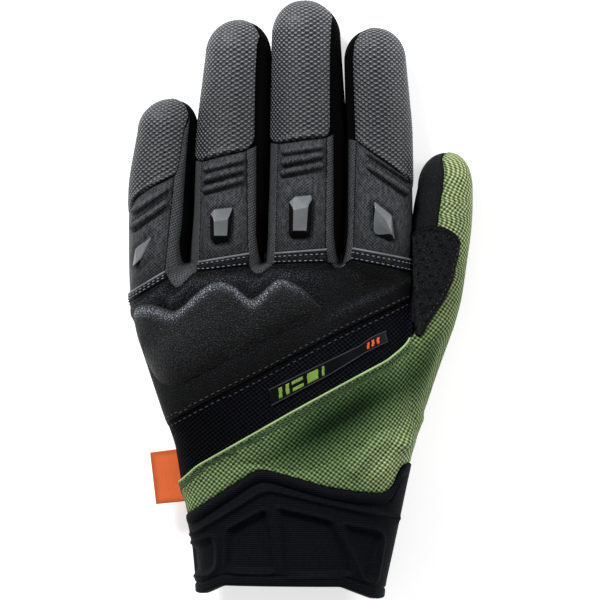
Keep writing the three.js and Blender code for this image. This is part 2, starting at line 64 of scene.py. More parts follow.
MM = 0.001
SEAM_Z = 7.0  # height of the seam between the palm side and the back
WALL = 1.3  # cloth with its backing
KNOT = 2.2  # pitch of the knots across the finger mesh
SQUASH = 0.76  # their pitch along the finger as a share of that
SEAM_POINTS = 400  # points of a seam line while a panel is filled
DARKEST = 0.1  # least shade in a seam
BODY = "root"


def soft_step(value: Array, low: float, high: float) -> Array:
    """Smooth ramp from 0 at low to 1 at high, three times the square less twice the cube."""
    share = np.clip((value - low) / (high - low), 0.0, 1.0)
    return share * share * (3.0 - 2.0 * share)


def hump(value: Array, width: float, middle: float = 0.0) -> Array:
    """Bell of height one about its middle: e to less the square of the distance over the width."""
    return np.exp(-(((value - middle) / width) ** 2))


def smooth_max(first: Array, second: Array, radius: float | Array) -> Array:
    """The larger of two heights, with the crease between them rounded.

    Where the two differ by less than the radius, the square of what is left of the radius is added.

    Args:
        first: one field of heights.
        second: the other field of heights.
        radius: how far apart the heights may be and still blend.

    Returns:
        The blended heights.
    """
    near = np.maximum(radius - np.abs(first - second), 0.0) / radius
    return np.maximum(first, second) + near * near * radius / 4.0


def bulge(value: Array, power: float) -> Array:
    """Signed value to the power of two over the superellipse's power."""
    return np.sign(value) * np.abs(value) ** (2.0 / power)


def gaussian(reach: int, soften: float) -> Array:
    """Bell-shaped weights that add up to one."""
    steps = np.arange(-reach, reach + 1)
    weights = np.exp(-0.5 * (steps / soften) ** 2)
    return weights / weights.sum()


def at_places(places: Array, rows: Array, line: Array) -> Array:
    """Points of a line at some places, straight between the places of its own rows."""
    return np.stack([np.interp(places, rows, column) for column in line.T], -1)


def walked(line: Array) -> Array:
    """Length along a path at each of its points."""
    return np.concatenate([[0.0], np.cumsum(np.linalg.norm(np.diff(line, axis=0), axis=-1))])


def even_line(points: Array, count: int = 0, step: float = 0.4, scale: float = 1.0) -> Array:
    """A polyline with evenly spaced points.

    Args:
        points: corners, one row each.
        count: number of points wanted, or 0 to take it from the step.
        step: spacing where no count is given.
        scale: what one unit of the first column measures.

    Returns:
        The new points.
    """
    points = np.asarray(points, float)
    sides = np.diff(points, axis=0) * np.array([scale, 1.0])
    length = np.concatenate([[0.0], np.cumsum(np.hypot(sides[:, 0], sides[:, 1]))])
    count = count or max(int(length[-1] / step), 2) + 1
    along = np.linspace(0.0, length[-1], count)
    return at_places(along, length, points)


def soft_line(points: Points | Array, soften: float = 1.2, step: float = 0.2) -> Array:
    """A seam line through corner points, with its corners rounded by a bell-shaped average.

    Args:
        points: the corners.
        soften: spread of the average in millimetres, or 0 for sharp corners.
        step: spacing of the line's points.

    Returns:
        The line, with its two ends where they were.
    """
    line = even_line(np.asarray(points, float), step=step)
    reach = min(int(3 * soften / step), len(line) - 2)
    if soften == 0 or reach < 2:
        return line
    return smoothed(line, gaussian(reach, soften / step))


def smoothed(line: Array, weights: Array) -> Array:
    """A line averaged with some weights, and mirrored past its ends so that they stay.

    Args:
        line: places with even spacing, one row each.
        weights: an odd number of weights that add up to one.

    Returns:
        The new line, with as many rows.
    """
    reach = len(weights) // 2
    before = 2 * line[0] - line[reach:0:-1]
    after = 2 * line[-1] - line[-2 : -reach - 2 : -1]
    longer = np.concatenate([before, line, after])
    return np.stack([np.convolve(column, weights, "valid") for column in longer.T], -1)


def level_line(first: Array, last: Array, count: int = 60) -> Array:
    """A straight line of parameters across a digit, from one to another with the same second one."""
    return np.stack([np.linspace(first[0], last[0], count), np.full(count, first[1])], -1)


def spanned(line: Array, start: Array, end: Array) -> Array:
    """The part of an edge between two corners, by its second parameter, with the corners added."""
    keep = (line[:, 1] > start[1]) & (line[:, 1] < end[1])
    return np.concatenate([start[None], line[keep], end[None]])


def distance_to(line: Array, x: Array, y: Array) -> Array:
    """Distance in plan from each place to the nearest point of a line.

    Args:
        line: the line, closely spaced.
        x: plan x of the places.
        y: plan y of the places.

    Returns:
        The distances, in the shape of x.
    """
    flat = np.stack([x.ravel(), y.ravel()], -1)
    best = np.full(len(flat), 1e9)
    for point in line:
        best = np.minimum(best, (flat[:, 0] - point[0]) ** 2 + (flat[:, 1] - point[1]) ** 2)
    return np.sqrt(best).reshape(x.shape)


def inside(outline: Array, x: Array, y: Array) -> Array:
    """Whether each place is inside a closed outline, by counting the sides crossed on the way out.

    Args:
        outline: the outline's corners.
        x: plan x of the places.
        y: plan y of the places.

    Returns:
        True or false for each place.
    """
    crossed = np.zeros(x.shape, bool)
    following = np.roll(outline, -1, axis=0)
    for (x1, y1), (x2, y2) in zip(outline, following):
        spans = (y1 > y) != (y2 > y)
        rise = (y2 - y1) if y2 != y1 else 1e-9
        crossed ^= spans & (x < x1 + (y - y1) * (x2 - x1) / rise)
    return crossed


@dataclass(frozen=True)
class Tip:
    """Round end of a digit: section values, the reach past them and the sideways lean."""

    y: float
    x: float
    w: float
    z: float
    h: float
    reach: float
    lean: float


@dataclass
class Tube:
    """A tube of superellipse sections across Y, flattened where it lies on the floor.

    A section is centred at (x, z) and has half width w and half height h. Its outline at an angle is the
    centre plus w times the bulged cosine and h times the bulged sine.
    """

    rows: tuple[tuple[float, ...], ...]  # y, x, w, z, h
    power: float
    tip: Tip | None = None
    soften: float = 3.0
    step: float = 0.5
    table: Array = field(init=False)

    def __post_init__(self) -> None:
        """Samples the rows along Y and rounds off their corners."""
        rows = np.array(self.rows, float)
        if self.tip:
            tip = self.tip
            rows = np.vstack([rows, [tip.y, tip.x, tip.w, tip.z, tip.h]])
        beyond = 8 * self.soften
        first = rows[0] + (rows[0] - rows[1]) / (rows[1, 0] - rows[0, 0]) * beyond
        last = rows[-1] + (rows[-1] - rows[-2]) / (rows[-1, 0] - rows[-2, 0]) * beyond
        rows = np.vstack([first, rows, last])
        y = np.arange(first[0], last[0], self.step)
        reach = int(3 * self.soften / self.step)
        weights = gaussian(reach, self.soften / self.step)
        columns = [np.convolve(np.interp(y, rows[:, 0], rows[:, k]), weights, "same") for k in range(1, 5)]
        self.table = np.stack([y, *columns])[:, reach:-reach]

    def section(self, y: Array) -> tuple[Array, Array, Array, Array]:
        """Centre x, half width, centre z and half height at places along Y, tip included."""
        x, w, z, h = (np.interp(y, self.table[0], column) for column in self.table[1:])
        if not self.tip:
            return x, w, z, h
        tip = self.tip
        turn = np.clip((y - tip.y) / tip.reach, 0.0, 1.0)
        shrink = np.maximum(1.0 - turn**2, 1e-6) ** 0.46
        past = y > tip.y
        x = np.where(past, tip.x + tip.lean * turn**2, x)
        w = np.where(past, tip.w * shrink, w)
        z = np.where(past, tip.z, z)
        h = np.where(past, tip.h * shrink, h)
        return x, w, z, h

    def top(self, x: Array, y: Array) -> Array:
        """Height of the tube's upper side in plan, falling away steeply outside its footprint."""
        first = self.rows[0][0]
        last = self.tip.y + self.tip.reach if self.tip else self.rows[-1][0]
        centre, w, z, h = self.section(np.clip(y, first, last))
        across = np.abs(x - centre) / w
        arch = np.maximum(1.0 - np.minimum(across, 1.0) ** self.power, 0.0) ** (1.0 / self.power)
        height = z + h * arch - 3.0 * np.maximum(np.abs(x - centre) - w, 0.0)
        return height - 3.0 * np.maximum(y - last, 0.0) - np.maximum(first - y, 0.0)


@dataclass
class Digit(Tube):
    """One digit as a surface of its own.

    The first parameter is the angle round the tube, from 0 at the right over half pi on top. The second
    is y along the straight part, and past that the length of the arc over the tip.
    """

    scale: float = 12.0

    @property
    def end(self) -> float:
        """Second parameter at the very tip."""
        return self.tip.y + self.tip.reach * np.pi / 2

    def place(self, along: Array) -> Array:
        """Y of a second parameter: on the tip it is the tip's y plus its reach times the sine."""
        tip = self.tip
        turn = np.clip((along - tip.y) / tip.reach, 0.0, np.pi / 2)
        return np.where(along > tip.y, tip.y + tip.reach * np.sin(turn), along)

    def point(self, angle: Array, along: Array) -> Array:
        """Places on the digit's surface, flattened at the floor."""
        y = self.place(along)
        x, w, z, h = self.section(y)
        height = z + h * bulge(np.sin(angle), self.power)
        return np.stack([x + w * bulge(np.cos(angle), self.power), y, np.maximum(height, 0.0)], -1)

    def seam_angle(self, along: Array, left: bool) -> Array:
        """Angle at which the side reaches the seam with the palm side."""
        _, _, z, h = self.section(self.place(along))
        share = np.clip((z - SEAM_Z) / h, 0.0, 1.0)
        share = share * (1.0 - soft_step(along, self.tip.y, self.end))
        drop = np.arcsin(share ** (self.power / 2.0))
        return np.pi + drop if left else -drop

    def chart(self, line: Array) -> Array:
        """Parameters of a line given in plan.

        An x past the outline by some millimetres means a place that far down the side. Places below the
        palm seam move up to it.
        """
        tip = self.tip
        x, y = line[:, 0], line[:, 1]
        turn = np.arcsin(np.clip((y - tip.y) / tip.reach, 0.0, 1.0))
        along = np.where(y > tip.y, tip.y + tip.reach * turn, y)
        centre, w, _, h = self.section(y)
        across = (x - centre) / w
        angle = np.arccos(np.clip(bulge(across, 4.0 / self.power), -1.0, 1.0))
        past = np.arcsin(np.clip((np.abs(across) - 1.0) * w / h, 0.0, 0.95))
        angle = np.where(across < 0, angle + past, angle - past)
        return np.stack([self.held(angle, along), along], -1)

    def held(self, angle: Array, along: Array) -> Array:
        """An angle kept between the two palm seams."""
        return np.clip(angle, self.seam_angle(along, False), self.seam_angle(along, True))

    def trimmed(self, line: Array) -> Array:
        """The part of a line of parameters that lies above both palm seams."""
        angle, along = line[:, 0], line[:, 1]
        margin = 1e-4
        above_left = angle < self.seam_angle(along, True) - margin
        return line[above_left & (angle > self.seam_angle(along, False) + margin)]

    def arc(self, angle: Array, along: Array) -> Array:
        """Length round the tube from its top line: the angle times the mean half size."""
        _, w, _, h = self.section(self.place(along))
        return (np.pi / 2 - angle) * (w + h) / 2


@dataclass
class Skin:
    """Outer surface of the hand and its digits as one.

    The first parameter is an angle: its cosine goes from the right outline to the left one, and past the
    outlines the surface turns down to the seam. The second is y.
    """

    hand: Tube
    digits: dict[str, Digit]
    scale: float = 45.0
    power: float = 2.5
    turn_in: float = 10.0  # how round the side is below the outline
    arcs: Array = field(init=False)
    arc_y: Array = field(init=False)
    arc_angle: Array = field(init=False)

    def __post_init__(self) -> None:
        """Adds up the lengths across the sections, for patterns that follow the cloth."""
        self.arc_y = np.arange(-110.0, 56.0, 1.0)
        self.arc_angle = np.linspace(-1.0, np.pi + 1.0, 400)
        angle, y = np.meshgrid(self.arc_angle, self.arc_y)
        points = self.point(angle, y)
        steps = np.linalg.norm(np.diff(points[..., ::2], axis=1), axis=-1)
        total = np.concatenate([np.zeros((len(y), 1)), np.cumsum(steps, axis=1)], axis=1)
        self.arcs = total[:, 200:201] - total

    def top(self, x: Array, y: Array) -> Array:
        """Height of the whole back in plan, with the tubes blended into each other."""
        height = self.hand.top(x, y)
        for name, digit in self.digits.items():
            blend = 2.0 + 6.0 * (1.0 - soft_step(y, -34.0, -14.0)) if name == "thumb" else 3.0
            height = smooth_max(height, digit.top(x, y), blend)
        return height

    def sides(self, y: Array) -> tuple[Array, Array]:
        """X of the left and right outlines."""
        x, w, _, _ = self.hand.section(y)
        left, right = x - w, x + w
        x, w, _, _ = self.digits["little"].section(y)
        left = -smooth_max(-left, -(x - w) - np.maximum(-6.0 - y, 0.0), 1.0)
        x, w, _, _ = self.digits["thumb"].section(y)
        right = smooth_max(np.where(y > 0.0, -99.0, right), x + w, 2.0)
        return left, right

    def point(self, angle: Array, y: Array) -> Array:
        """Places on the skin: the height in plan between the outlines, and a turned-in side below."""
        left, right = self.sides(y)
        middle, half = (left + right) / 2, (right - left) / 2
        x = middle + half * np.cos(np.clip(angle, 0.0, np.pi))
        z = self.top(np.clip(x, left + 0.01, right - 0.01), y)
        below = np.maximum(np.maximum(angle - np.pi, -angle), 0.0)
        x = x - np.sign(x - middle) * self.turn_in * (1.0 - bulge(np.cos(below), self.power))
        return np.stack([x, y + 0.0 * x, z * (1.0 - bulge(np.sin(below), self.power))], -1)

    def side_height(self, y: Array, left: bool) -> Array:
        """Height of the skin at one of its outlines."""
        edge, other = self.sides(y) if left else self.sides(y)[::-1]
        return self.top(edge + np.sign(other - edge) * 0.01, y)

    def seam_line(self, start: float, end: float, left: bool, count: int = 120) -> Array:
        """The palm seam along one side as a line in plan, past the outline by its drop."""
        y = np.linspace(start, end, count)
        edge = self.sides(y)[0 if left else 1]
        drop = self.side_height(y, left) - SEAM_Z
        return np.stack([edge - drop if left else edge + drop, y], -1)

    def chart(self, line: Array) -> Array:
        """Parameters of a line given in plan, where x past an outline means down that side."""
        x, y = line[:, 0], line[:, 1]
        left, right = self.sides(y)
        across = (x - (left + right) / 2) / ((right - left) / 2)
        angle = np.arccos(np.clip(across, -1.0, 1.0))
        past = np.maximum(np.maximum(left - x, x - right), 0.0)
        height = np.where(across < 0, self.side_height(y, True), self.side_height(y, False))
        share = np.clip(past / height, 0.0, (height - SEAM_Z) / height)
        drop = np.arcsin(share ** (self.power / 2.0))
        return np.stack([np.where(across < 0, angle + drop, angle - drop), y], -1)

    def trimmed(self, line: Array) -> Array:
        """The part of a line in plan that lies above the palm seam."""
        x, y = line[:, 0], line[:, 1]
        left, right = self.sides(y)
        past_left = left - x <= self.side_height(y, True) - SEAM_Z
        past_right = x - right <= self.side_height(y, False) - SEAM_Z
        return line[past_left & past_right]

    def arc(self, angle: Array, y: Array) -> Array:
        """Length across the section from its middle, read from the table by its two nearest rows."""
        row = np.clip((y - self.arc_y[0]) / (self.arc_y[1] - self.arc_y[0]), 0, len(self.arc_y) - 1.001)
        column = (angle - self.arc_angle[0]) / (self.arc_angle[1] - self.arc_angle[0])
        column = np.clip(column, 0, len(self.arc_angle) - 1.001)
        r, c = row.astype(int), column.astype(int)
        fr, fc = row - r, column - c
        lower = self.arcs[r, c] * (1 - fc) + self.arcs[r, c + 1] * fc
        upper = self.arcs[r + 1, c] * (1 - fc) + self.arcs[r + 1, c + 1] * fc
        return lower * (1 - fr) + upper * fr


@dataclass
class Grid:
    """A panel's grid: places, normals, distances to its four edges and lengths for the cloth pattern."""

    points: Array
    normals: Array
    left: Array
    right: Array
    bottom: Array
    top: Array
    uv: Array

    @property
    def x(self) -> Array:
        """Plan x of every point."""
        return self.points[..., 0]

    @property
    def y(self) -> Array:
        """Plan y of every point."""
        return self.points[..., 1]

    @property
    def edge(self) -> Array:
        """Distance to the nearest edge."""
        return np.minimum(np.minimum(self.left, self.right), np.minimum(self.bottom, self.top))


def grid_normals(points: Array) -> Array:
    """Unit normals of a grid, from the cross product of its two directions."""
    across = np.gradient(points, axis=1)
    along = np.gradient(points, axis=0)
    normals = np.cross(across, along)
    size = np.linalg.norm(normals, axis=-1, keepdims=True)
    normals = normals / np.maximum(size, 1e-12)
    thin = size[..., 0] < 1e-7
    if thin[-1].any():
        mean = normals[-2].mean(axis=0)
        normals[-1] = mean / np.linalg.norm(mean)
    return normals


def measured(points: Array, uv: Array) -> Grid:
    """A grid with its normals and the lengths from its four edges, added up along rows and columns."""
    across = np.linalg.norm(np.diff(points, axis=1), axis=-1)
    along = np.linalg.norm(np.diff(points, axis=0), axis=-1)
    left = np.concatenate([np.zeros((len(points), 1)), np.cumsum(across, axis=1)], axis=1)
    bottom = np.concatenate([np.zeros((1, points.shape[1])), np.cumsum(along, axis=0)], axis=0)
    right = left[:, -1:] - left
    top = bottom[-1:] - bottom
    return Grid(points, grid_normals(points), left, right, bottom, top, uv)


def shares(length: float, pitch: float) -> Array:
    """Places from 0 to 1 along a length: evenly spaced, and closer together near both ends."""
    close = np.array([0.0, 0.12, 0.27, 0.46, 0.7, 1.0])
    if length < 4.0:
        return np.linspace(0.0, 1.0, max(int(length / pitch), 4) + 1)
    inner = np.linspace(1.0, length - 1.0, max(int((length - 2.0) / pitch), 2) + 1)
    return np.concatenate([close[:-1], inner, length - close[-2::-1]]) / length


def filled(
    surface: Digit | Skin, bottom: Array, top: Array, left: Array, right: Array, pitch: float
) -> Grid:
    """Fills the space between four seam lines on a surface.

    The lines are in the surface's parameters. Inside, a parameter is the mix of left and right, plus the
    mix of bottom and top, less the mix of the four corners, and the surface gives the place.

    Args:
        surface: what the panel lies on.
        bottom: line from left to right.
        top: line from left to right.
        left: line from bottom to top.
        right: line from bottom to top.
        pitch: spacing of the grid.

    Returns:
        The measured grid.
    """
    lines = [even_line(line, SEAM_POINTS, scale=surface.scale) for line in (bottom, top, left, right)]
    lengths = [np.linalg.norm(np.diff(surface.point(*line.T), axis=0), axis=-1).sum() for line in lines]
    u = shares(max(lengths[:2]), pitch)
    v = shares(max(lengths[2:]), pitch)
    rows = np.linspace(0.0, 1.0, SEAM_POINTS)
    low, high = (at_places(u, rows, line)[None] for line in lines[:2])
    west, east = (at_places(v, rows, line)[:, None] for line in lines[2:])
    u, v = u[None, :, None], v[:, None, None]
    low_corners = (1 - u) * low[:, :1] + u * low[:, -1:]
    high_corners = (1 - u) * high[:, :1] + u * high[:, -1:]
    corners = (1 - v) * low_corners + v * high_corners
    chart = (1 - u) * west + u * east + (1 - v) * low + v * high - corners
    angle, along = chart[..., 0], chart[..., 1]
    return measured(surface.point(angle, along), np.stack([surface.arc(angle, along), along], -1))


def on_skin(skin: Skin, lines: tuple[Array, Array, Array, Array], pitch: float) -> Grid:
    """The grid between four seam lines given in plan: bottom, top, left and right."""
    return filled(skin, *(skin.chart(line) for line in lines), pitch)


def rounded(distance: Array, radius: float) -> Array:
    """How far a rounded edge drops: the radius less the height of a circle over the distance."""
    share = 1.0 - np.clip(distance / radius, 0.0, 1.0)
    return radius * (1.0 - np.sqrt(1.0 - share * share))


def make_object(name: str, points: Array, faces: Array, uv: Array, shade: Array,
                material: Material) -> bpy.types.Object:
    """Writes a mesh of four-sided faces and gives it a material.

    Args:
        name: the piece's name.
        points: places in millimetres, one row each.
        faces: four point numbers a row, outwards.
        uv: pattern place of each point, in millimetres.
        shade: painted light and shade at each point, a factor on the finish's colour, where 1 leaves it as it
            is.
        material: the finish.

    Returns:
        The new object.
    """
    mesh = bpy.data.meshes.new(name)
    mesh.vertices.add(len(points))
    mesh.vertices.foreach_set("co", (points * MM).astype(np.float32).ravel())
    mesh.loops.add(faces.size)
    mesh.loops.foreach_set("vertex_index", faces.astype(np.int32).ravel())
    mesh.polygons.add(len(faces))
    mesh.polygons.foreach_set("loop_start", np.arange(0, faces.size, 4, dtype=np.int32))
    mesh.polygons.foreach_set("loop_total", np.full(len(faces), 4, dtype=np.int32))
    layer = mesh.uv_layers.new(name="cloth")
    layer.data.foreach_set("uv", uv[faces.ravel()].astype(np.float32).ravel())
    mesh.polygons.foreach_set("use_smooth", np.ones(len(faces), dtype=bool))
    attribute = mesh.attributes.new("shade", "FLOAT", "POINT")
    attribute.data.foreach_set("value", shade.astype(np.float32))
    mesh.update(calc_edges=True)
    merge_doubles(mesh)
    mesh.validate()
    mesh.materials.append(material)
    piece = bpy.data.objects.new(name, mesh)
    bpy.context.scene.collection.objects.link(piece)
    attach(piece, BODY)
    log.info("%s: %d faces", name, len(mesh.polygons))
    return piece


def merge_doubles(mesh: bpy.types.Mesh) -> None:
    """Joins points that lie at the same place, such as the last row of a tip."""
    work = bmesh.new()
    work.from_mesh(mesh)
    bmesh.ops.remove_doubles(work, verts=work.verts, dist=2e-6)
    bmesh.ops.dissolve_degenerate(work, edges=work.edges, dist=1e-7)
    work.to_mesh(mesh)
    work.free()


def crease(grid: Grid) -> Array:
    """Painted shade in the seams: a third of the light is lost at an edge, and none a few millimetres away.
    """
    return 0.65 + 0.35 * soft_step(grid.edge, 0.0, 2.4)


def grid_faces(rows: int, columns: int) -> tuple[Array, Array]:
    """Point numbers of a grid, and its four-sided faces."""
    number = np.arange(rows * columns).reshape(rows, columns)
    corners = [number[:-1, :-1], number[:-1, 1:], number[1:, 1:], number[1:, :-1]]
    return number, np.stack(corners, -1).reshape(-1, 4)


def shell(grid: Grid, relief: Array, wall: float, shade: Array | None = None
          ) -> tuple[Array, Array, Array, Array]:
    """A closed sheet: the outer grid raised by its relief, an inner grid below it and a rim between.

    Args:
        grid: the panel's grid.
        relief: height to add along the normals.
        wall: thickness of the sheet.
        shade: painted light and shade at each place, a factor on the colour, or nothing for painted shade in
            the seams only.

    Returns:
        Points, faces, pattern places and shades.
    """
    outer = grid.points + grid.normals * relief[..., None]
    inner = grid.points - grid.normals * wall
    number, front = grid_faces(*outer.shape[:2])
    back = front[:, ::-1] + number.size
    loop = np.concatenate([number[0, :-1], number[:-1, -1], number[-1, :0:-1], number[:0:-1, 0]])
    following = np.roll(loop, -1)
    rim = np.stack([loop, loop + number.size, following + number.size, following], -1)
    points = np.concatenate([outer.reshape(-1, 3), inner.reshape(-1, 3)])
    uv = np.concatenate([grid.uv.reshape(-1, 2)] * 2)
    shade = crease(grid) if shade is None else shade
    return points, np.concatenate([front, back, rim]), uv, np.concatenate([shade.ravel()] * 2)


@dataclass
class Heap:
    """Several meshes collected into one piece."""

    points: list[Array] = field(default_factory=list)
    faces: list[Array] = field(default_factory=list)
    uvs: list[Array] = field(default_factory=list)
    shades: list[Array] = field(default_factory=list)
    count: int = 0

    def add(self, points: Array, faces: Array, uv: Array, shade: Array | None = None) -> None:
        """Adds one mesh with its faces renumbered, and its painted light and shade where it has one."""
        self.points.append(points)
        self.faces.append(faces + self.count)
        self.uvs.append(uv)
        self.shades.append(np.ones(len(points)) if shade is None else shade)
        self.count += len(points)

    def write(self, name: str, material: Material, slot: str, *nodes: str) -> bpy.types.Object:
        """Writes the collected meshes as one object.

        Args:
            name: the piece's name.
            material: its finish.
            slot: the finish's slot; not used.
            nodes: the nodes that it stands for, if any.

        Returns:
            The new object.
        """
        piece = make_object(name, np.concatenate(self.points), np.concatenate(self.faces),
                            np.concatenate(self.uvs), np.concatenate(self.shades), material)
        if nodes:
            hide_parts(*nodes)
        return piece


def sheet(name: str, grid: Grid, relief: Array, material: Material, slot: str, node: str,
          wall: float = WALL, shade: Array | None = None) -> bpy.types.Object:
    """Writes one closed sheet as a piece of its own.

    Args:
        name: the piece's name.
        grid: the panel's grid.
        relief: height to add along the normals.
        material: its finish.
        slot: the finish's slot.
        node: the node that it stands for.
        wall: thickness of the sheet.
        shade: painted light and shade at each place, a factor on the colour, or nothing for painted shade in
            the seams only.

    Returns:
        The new object.
    """
    heap = Heap()
    heap.add(*shell(grid, relief, wall, shade))
    return heap.write(name, material, slot, node)


def frames_along(line: Array, up: Array) -> tuple[Array, Array]:
    """Unit directions across a path: one level with the surface and one away from it."""
    along = np.gradient(line, axis=0)
    across = np.cross(along, up)
    across /= np.maximum(np.linalg.norm(across, axis=-1, keepdims=True), 1e-9)
    away = np.cross(across, along)
    away /= np.maximum(np.linalg.norm(away, axis=-1, keepdims=True), 1e-9)
    return across, away


def cord_mesh(line: Array, up: Array, radius: float, sides: int = 8, flat: float = 1.0
              ) -> tuple[Array, Array, Array]:
    """A round strand along a path: rings of points joined by faces, closed by rings of no size.

    Args:
        line: the path.
        up: direction away from the surface at each point of it.
        radius: half the strand's width.
        sides: points in a ring.
        flat: height of the section as a share of its width.

    Returns:
        Points, faces and pattern places.
    """
    across, away = frames_along(line, up)
    turn = np.arange(sides) * 2 * np.pi / sides
    size = np.full(len(line), radius)
    size[[0, -1]] = 0.0
    if len(line) > 5:
        size[[1, -2]] = radius * 0.7
    ring = across[:, None] * np.cos(turn)[None, :, None] + flat * away[:, None] * np.sin(turn)[None, :, None]
    points = line[:, None] + ring * size[:, None, None]
    number = np.arange(len(line) * sides).reshape(len(line), sides)
    nxt = np.roll(number, -1, axis=1)
    faces = np.stack([number[:-1], nxt[:-1], nxt[1:], number[1:]], -1).reshape(-1, 4)
    length = walked(line)
    uv = np.stack([np.repeat(turn[None] * radius, len(line), 0), np.repeat(length[:, None], sides, 1)], -1)
    return points.reshape(-1, 3), faces, uv.reshape(-1, 2)


def stitches(heap: Heap, line: Array, up: Array, pitch: float = 2.3, share: float = 0.72,
             radius: float = 0.24, lift: float = 0.1) -> None:
    """A row of sewn stitches: short strands that dive into the cloth at both ends.

    Args:
        heap: where the strands go.
        line: the seam as a path on the surface.
        up: normals along it.
        pitch: length of one stitch with its gap.
        share: part of the pitch that the strand takes.
        radius: half the thread's thickness.
        lift: height of a strand's middle over the surface.
    """
    length = walked(line)
    rings = np.linspace(-0.5, 0.5, 6)
    arch = lift + radius - (radius + lift + 0.25) * (2 * np.abs(rings)) ** 3
    for start in np.arange(pitch / 2, length[-1] - pitch / 2, pitch):
        place = start + rings * pitch * share
        strand, normal = at_places(place, length, line), at_places(place, length, up)
        heap.add(*cord_mesh(strand + normal * arch[:, None], normal, radius, 6, 0.8))


class Graph:
    """A material's nodes, added with short calls."""

    def __init__(self, name: str) -> None:
        """Starts a material with a principled shader joined to its output."""
        self.material = bpy.data.materials.new(name)
        self.material.use_nodes = True
        self.tree = self.material.node_tree
        self.tree.nodes.clear()
        self.shader = self.add("BsdfPrincipled")
        output = self.add("OutputMaterial")
        self.tree.links.new(self.shader.outputs[0], output.inputs[0])

    def add(self, kind: str, inputs: dict | None = None, **settings: object) -> bpy.types.Node:
        """Adds a node, with settings as its properties and inputs as values or links."""
        made = self.tree.nodes.new("ShaderNode" + kind)
        for key, value in settings.items():
            setattr(made, key, value)
        for key, value in (inputs or {}).items():
            self.put(made.inputs[key], value)
        return made

    def put(self, socket: Socket, value: object) -> None:
        """Links a socket to another, or gives it a value."""
        if isinstance(value, Socket):
            self.tree.links.new(value, socket)
        else:
            socket.default_value = value

    def math(self, operation: str, a: object, b: object = 0.0, c: object = 0.0) -> Socket:
        """One step of arithmetic."""
        return self.add("Math", {0: a, 1: b, 2: c}, operation=operation).outputs[0]

    def between(self, value: object, low: float, high: float, to_low: float = 0.0, to_high: float = 1.0
                ) -> Socket:
        """A value moved from one range to another, held at its ends."""
        inputs = {0: value, 1: low, 2: high, 3: to_low, 4: to_high}
        return self.add("MapRange", inputs, clamp=True).outputs[0]

    def mix(self, share: object, first: object, second: object) -> Socket:
        """Two colours mixed."""
        return self.add("Mix", {0: share, 6: first, 7: second}, data_type="RGBA").outputs[2]

    def noise(self, scale: float, detail: float = 3.0, rough: float = 0.5, vector: object = None
              ) -> Socket:
        """Cloudy noise over the object, with the scale in waves per metre."""
        where = vector or self.add("TexCoord").outputs["Object"]
        inputs = {"Vector": where, "Scale": scale, "Detail": detail, "Roughness": rough}
        return self.add("TexNoise", inputs).outputs[0]

    def cells(self, scale: float, feature: str = "F1", vector: object = None) -> Socket:
        """Distance to scattered cell centres, or to the edges between cells."""
        where = vector or self.add("TexCoord").outputs["Object"]
        return self.add("TexVoronoi", {"Vector": where, "Scale": scale}, feature=feature).outputs["Distance"]

    def cloth(self, angle: float = 0.0) -> tuple[Socket, Socket]:
        """Place on the cloth in millimetres, across and along, turned by an angle in degrees."""
        uv = self.add("UVMap", uv_map="cloth").outputs[0]
        turned = self.add("Mapping", {"Vector": uv, "Rotation": (0.0, 0.0, np.radians(angle))}).outputs[0]
        parts = self.add("SeparateXYZ", {0: turned})
        return parts.outputs[0], parts.outputs[1]

    def shaded(self, color: object, tint: tuple[float, float, float] = (1.0, 1.0, 1.0)) -> Socket:
        """A colour multiplied by the mesh's painted light and shade, with a power of it for each of red,
        green and blue.
        """
        shade = self.add("Attribute", attribute_name="shade").outputs["Fac"]
        parts = {index: self.math("POWER", shade, power) for index, power in enumerate(tint)}
        powers = self.add("CombineXYZ", parts).outputs[0]
        return self.add("VectorMath", {0: color, 1: powers}, operation="MULTIPLY").outputs[0]

    def streaks(self, across: object, along: object, width: float, length: float) -> Socket:
        """Noise drawn out along the cloth, with its grain size in millimetres each way."""
        u = self.math("DIVIDE", across, width)
        v = self.math("DIVIDE", along, length)
        where = self.add("CombineXYZ", {0: u, 1: v}).outputs[0]
        return self.between(self.noise(1.0, 2.0, 0.6, where), 0.32, 0.68)

    def wave(self, place: object, pitch: float) -> Socket:
        """Cosine of a place, with one wave to the pitch."""
        return self.math("COSINE", self.math("MULTIPLY", place, 2 * np.pi / pitch))

    def bump(self, height: object, distance: float, strength: float = 1.0, normal: object = None
             ) -> Socket:
        """A bump of a height, with its full depth in metres."""
        inputs = {"Height": height, "Distance": distance, "Strength": strength}
        if normal is not None:
            inputs["Normal"] = normal
        return self.add("Bump", inputs).outputs[0]

    def finish(self, color: object, roughness: object, normal: object = None, **fixed: object
               ) -> Material:
        """Joins colour, roughness and normal to the shader and sets its fixed sockets.

        Args:
            color: base colour, a value or a link.
            roughness: roughness, a value or a link.
            normal: bump, if any.
            fixed: other sockets by name, with underscores for spaces.

        Returns:
            The material.
        """
        self.put(self.shader.inputs["Base Color"], color)
        self.put(self.shader.inputs["Roughness"], roughness)
        if normal is not None:
            self.put(self.shader.inputs["Normal"], normal)
        for key, value in fixed.items():
            self.shader.inputs[key.replace("_", " ")].default_value = value
        return self.material


def tone(red: int, green: int, blue: int) -> Color:
    """A colour from its screen values: each is over 255, then to the screen's curve."""
    screen = np.array([red, green, blue]) / 255.0
    linear = np.where(screen <= 0.04045, screen / 12.92, ((screen + 0.055) / 1.055) ** 2.4)
    return (*(float(value) for value in linear), 1.0)


class Knit(Enum):
    """How a cloth is made."""

    PEBBLE = "staggered round knots"
    FINE = "fine plain weave"
    RIBBED = "fine ribs"


